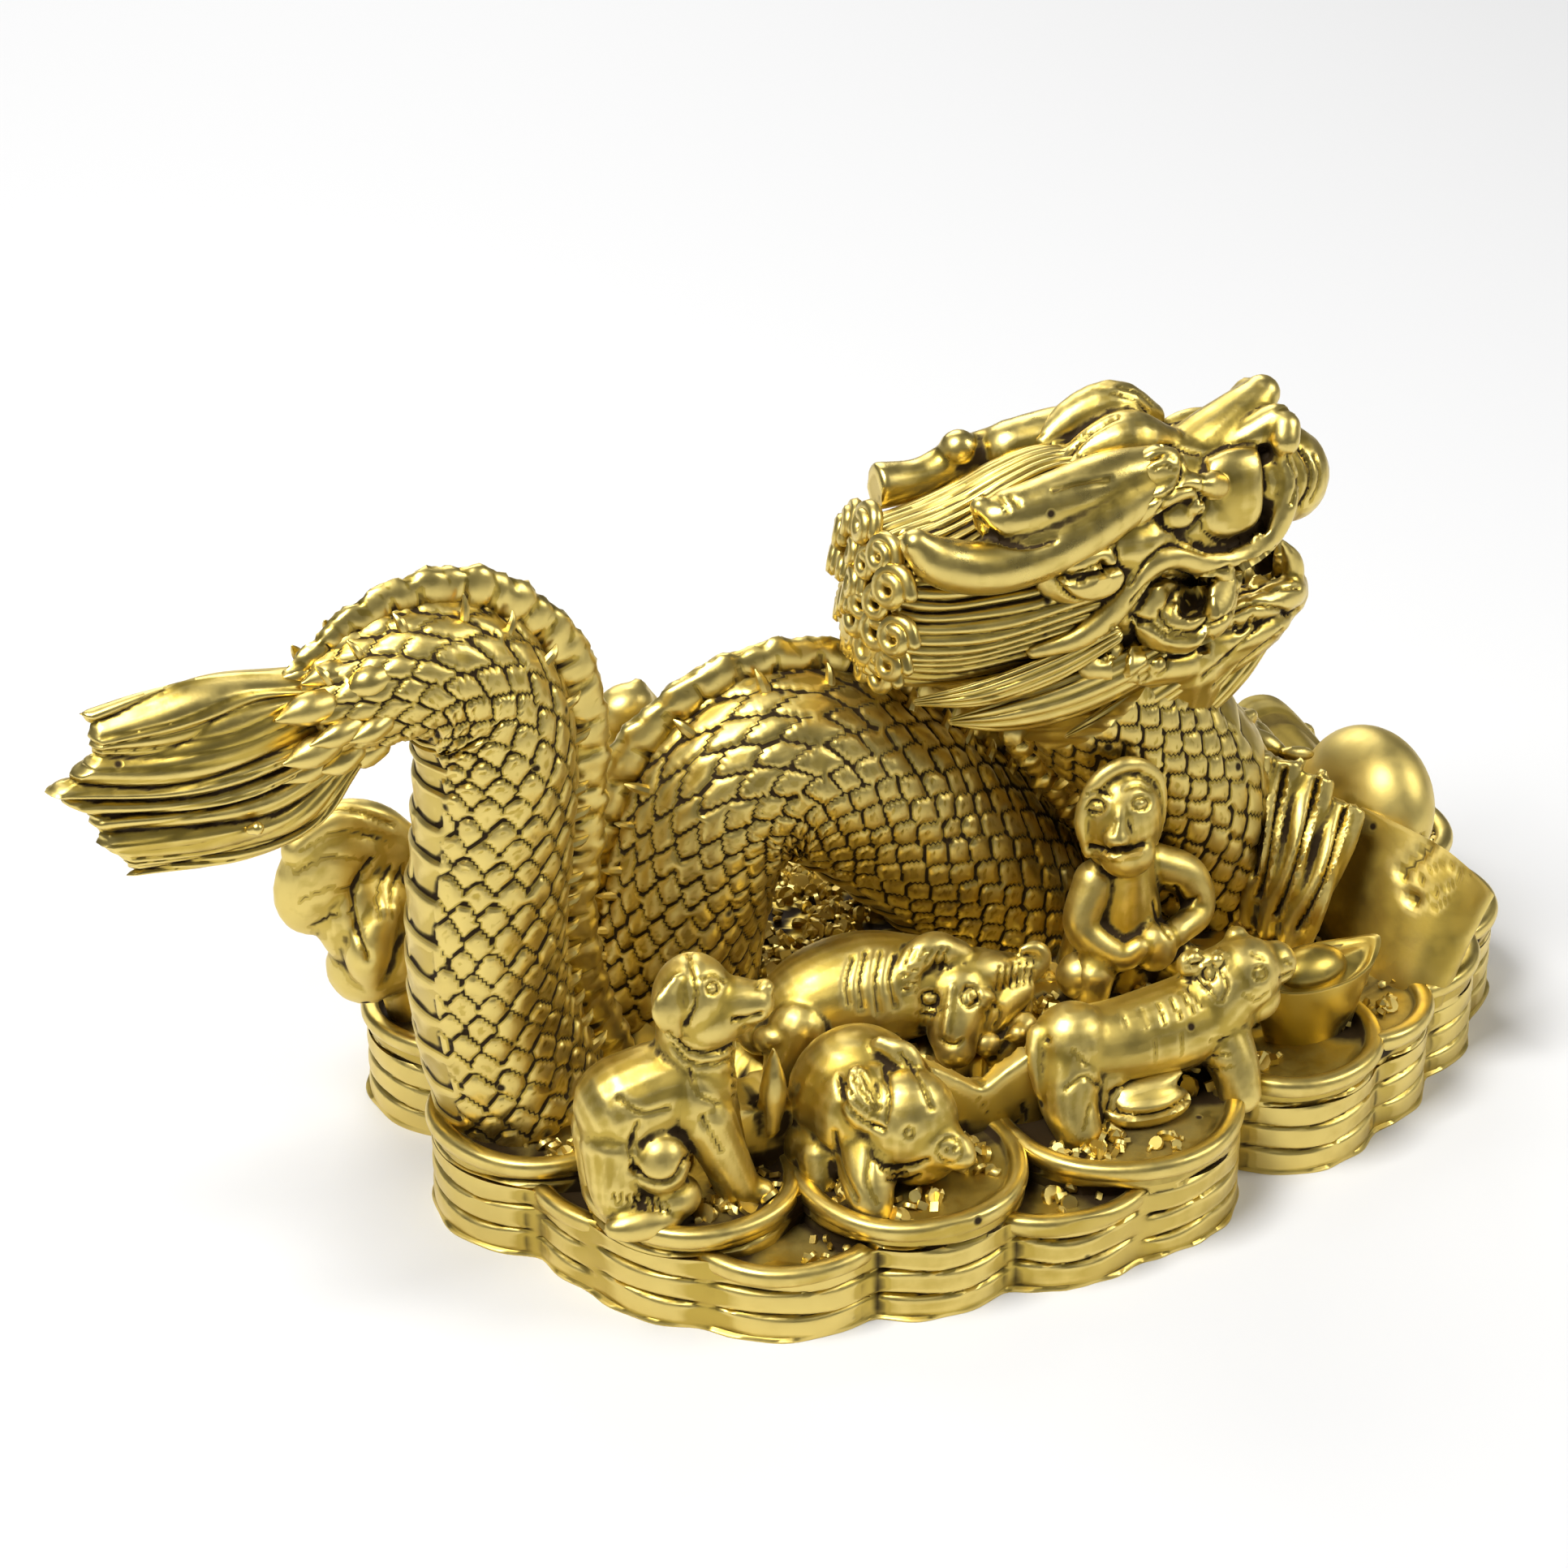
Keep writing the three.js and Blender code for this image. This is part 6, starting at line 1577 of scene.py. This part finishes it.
# Treasure between the animals: the flat sides of half-buried ingots and blocks, balls, round
# lumps and short pegs, all cast in one with the bed and run together where they touch.
def slab(outline, front, back):
    """A flat block: its outline is drawn as seen from the front, and it reaches between two depths."""
    bpy.ops.object.select_all(action="DESELECT")
    bpy.ops.mesh.primitive_cylinder_add(vertices=len(outline), radius=1, depth=1)
    piece = bpy.context.object
    move_to(piece, np.array([(x, depth, z) for x, z in outline for depth in (front, back)], float))
    return sealed(piece)


treasure = clay([
    slab([(-16.6, 20.6), (-13.4, 18.4), (-10.2, 16.0), (-7.6, 17.8), (-4.8, 19.4), (-3.2, 16.6),
          (-3.0, 7.4), (-15.4, 7.4)], -33.4, -31.0),
    ball((-13.0, -29.4, 13.0), (2.2, 1.8, 2.4)), ball((-9.2, -29.0, 12.6), (2.2, 1.8, 2.0), (0, 30, 0)),
    ball((-4.8, -29.4, 13.0), (2.2, 1.8, 2.2)),
    limb([(-7.6, -30.6, 12.0, 1.4), (-6.6, -30.2, 15.4, 0.8)], sides=8, rings=4),
    slab([(-37.0, 18.6), (-34.6, 18.2), (-32.4, 18.8), (-30.0, 17.4), (-29.8, 9.4), (-37.0, 9.4)],
         -31.6, -25),
    limb([(-33.4, -31.2, 15.6, 1.0), (-33.2, -31.6, 20.4, 1.5), (-33.0, -31.2, 25.0, 0.4)],
         sides=10, rings=12),
    ball((7.2, -36.6, 12.2), (5.2, 2.8, 2.1)), ball((7.4, -35.4, 14.4), (4.6, 2.0, 0.8), (0, -6, 0)),
    ball((7.6, -17.4, 17), (2.7, 2.7, 2.7)),
    limb([(-4.4, -23.0, 13.4, 2.4), (-1.4, -23.0, 16.0, 1.6)], sides=8, rings=4),
    ball((-6.2, -24.2, 15.4), (1.6, 1.4, 1.4), rings=8), ball((-2.6, -24.6, 16.2), (1.2, 1.1, 1.0), rings=8),
], voxel=0.5, rounds=0)
carve(treasure, (8, -35, 20), lines=[
    ([(-4.6, -7.4), (-2.2, -8.4), (1.4, -8.2), (4.6, -6.6)], 0.32, 0.9),
    ([(-18.2, -6.4), (-17.2, -8.2)], 0.12, 0.25),
    ([(-13.4, -7.6), (-13.0, -8.8)], 0.3, 0.3), ([(-15.2, -9.4), (-14.6, -9.7), (-13.8, -9.3)], 0.16, 0.3),
], reach=30)
finish_piece(treasure, "treasure", SOFT_GOLD)


# Painted shade where the carving is crowded: between the body and the bed, behind the animals and
# among the curls. Every vertex looks a little way out and counts how much stands there.
CROWD = {"cell": 0.6, "look": 2.8, "reach": 3, "from": 0.06, "to": 0.36, "weight": 0.42, "ground": 0.8,
         "wall_top": 9.2, "wall": 0.3}


def summed(field, axis, reach):
    """The total over a window of cells on either side, along one axis."""
    pad = [(0, 0)] * 3
    pad[axis] = (reach + 1, reach)
    total = np.cumsum(np.pad(field, pad), axis=axis, dtype=np.float32)
    count = field.shape[axis]
    high = np.take(total, np.arange(count) + 2 * reach + 1, axis=axis)
    return high - np.take(total, np.arange(count), axis=axis)


pieces = [piece for piece in bpy.data.objects if piece.type == "MESH" and "hollow" in piece.data.attributes]
origin, far_corner = [np.array(corner) / MM for corner in cad_box]
cells = np.ceil((far_corner - origin) / CROWD["cell"]).astype(int) + 1
crowd = np.zeros(cells, np.float32)
for piece in pieces:
    at = ((places_of(piece) - origin) / CROWD["cell"]).astype(int).clip(0, cells - 1)
    crowd[at[:, 0], at[:, 1], at[:, 2]] = 1
for axis in range(3):
    crowd = summed(crowd, axis, CROWD["reach"])
crowd /= (2 * CROWD["reach"] + 1) ** 3
for piece in pieces:
    look = places_of(piece) + normals_of(piece) * CROWD["look"]
    at = ((look - origin) / CROWD["cell"]).astype(int).clip(0, cells - 1)
    shade = smooth_step(crowd[at[:, 0], at[:, 1], at[:, 2]], CROWD["from"], CROWD["to"])
    # The bed's top, the ground between the animals and under the arch, gets strong painted shade; its side
    # gets less
    if piece is bed:
        on_wall = places_of(piece)[:, 2] < CROWD["wall_top"]
        shade = np.where(on_wall, CROWD["wall"] * shade, np.maximum(shade, CROWD["ground"]))
    note_hollow(piece, hollow_of(piece) + CROWD["weight"] * shade)


# Pale floor and soft studio light: a matt floor that is almost white, and three broad square lamps,
# of which the one high on the left is the strongest.
bpy.ops.object.select_all(action="DESELECT")
bpy.ops.mesh.primitive_plane_add(size=6, location=(0, 0, 0))
floor = bpy.context.object
floor.name = "floor"
floor_paint = bpy.data.materials.new("pale floor")
floor_paint.use_nodes = True
floor_shader = floor_paint.node_tree.nodes["Principled BSDF"]
floor_shader.inputs["Base Color"].default_value = (0.76, 0.76, 0.76, 1)
floor_shader.inputs["Roughness"].default_value = 0.9
floor.data.materials.append(floor_paint)

# Each lamp: its name, place, size and power
LAMPS = [
    ("key", (-0.30, -0.10, 0.62), 0.30, 5.0),
    ("side", (0.55, -0.28, 0.52), 0.30, 2.2),
    ("back", (0.05, 0.60, 0.45), 0.45, 2.2),
]
for name, spot, size, power in LAMPS:
    bpy.ops.object.light_add(type="AREA", location=spot)
    lamp = bpy.context.object
    lamp.name = name
    lamp.data.shape = "SQUARE"
    lamp.data.size = size
    lamp.data.energy = power
    toward = [LOOK_AT[i] - spot[i] for i in range(3)]
    flat = math.hypot(toward[0], toward[1])
    lamp.rotation_euler = Euler((math.atan2(flat, -toward[2]), 0, math.atan2(-toward[0], toward[1])))

WORLD_LIGHT = 0.13
world = bpy.data.worlds.new("studio")
bpy.context.scene.world = world
world.use_nodes = True
world.node_tree.nodes["Background"].inputs["Color"].default_value = (1, 1, 1, 1)
world.node_tree.nodes["Background"].inputs["Strength"].default_value = WORLD_LIGHT
bpy.context.scene.view_settings.view_transform = "Standard"
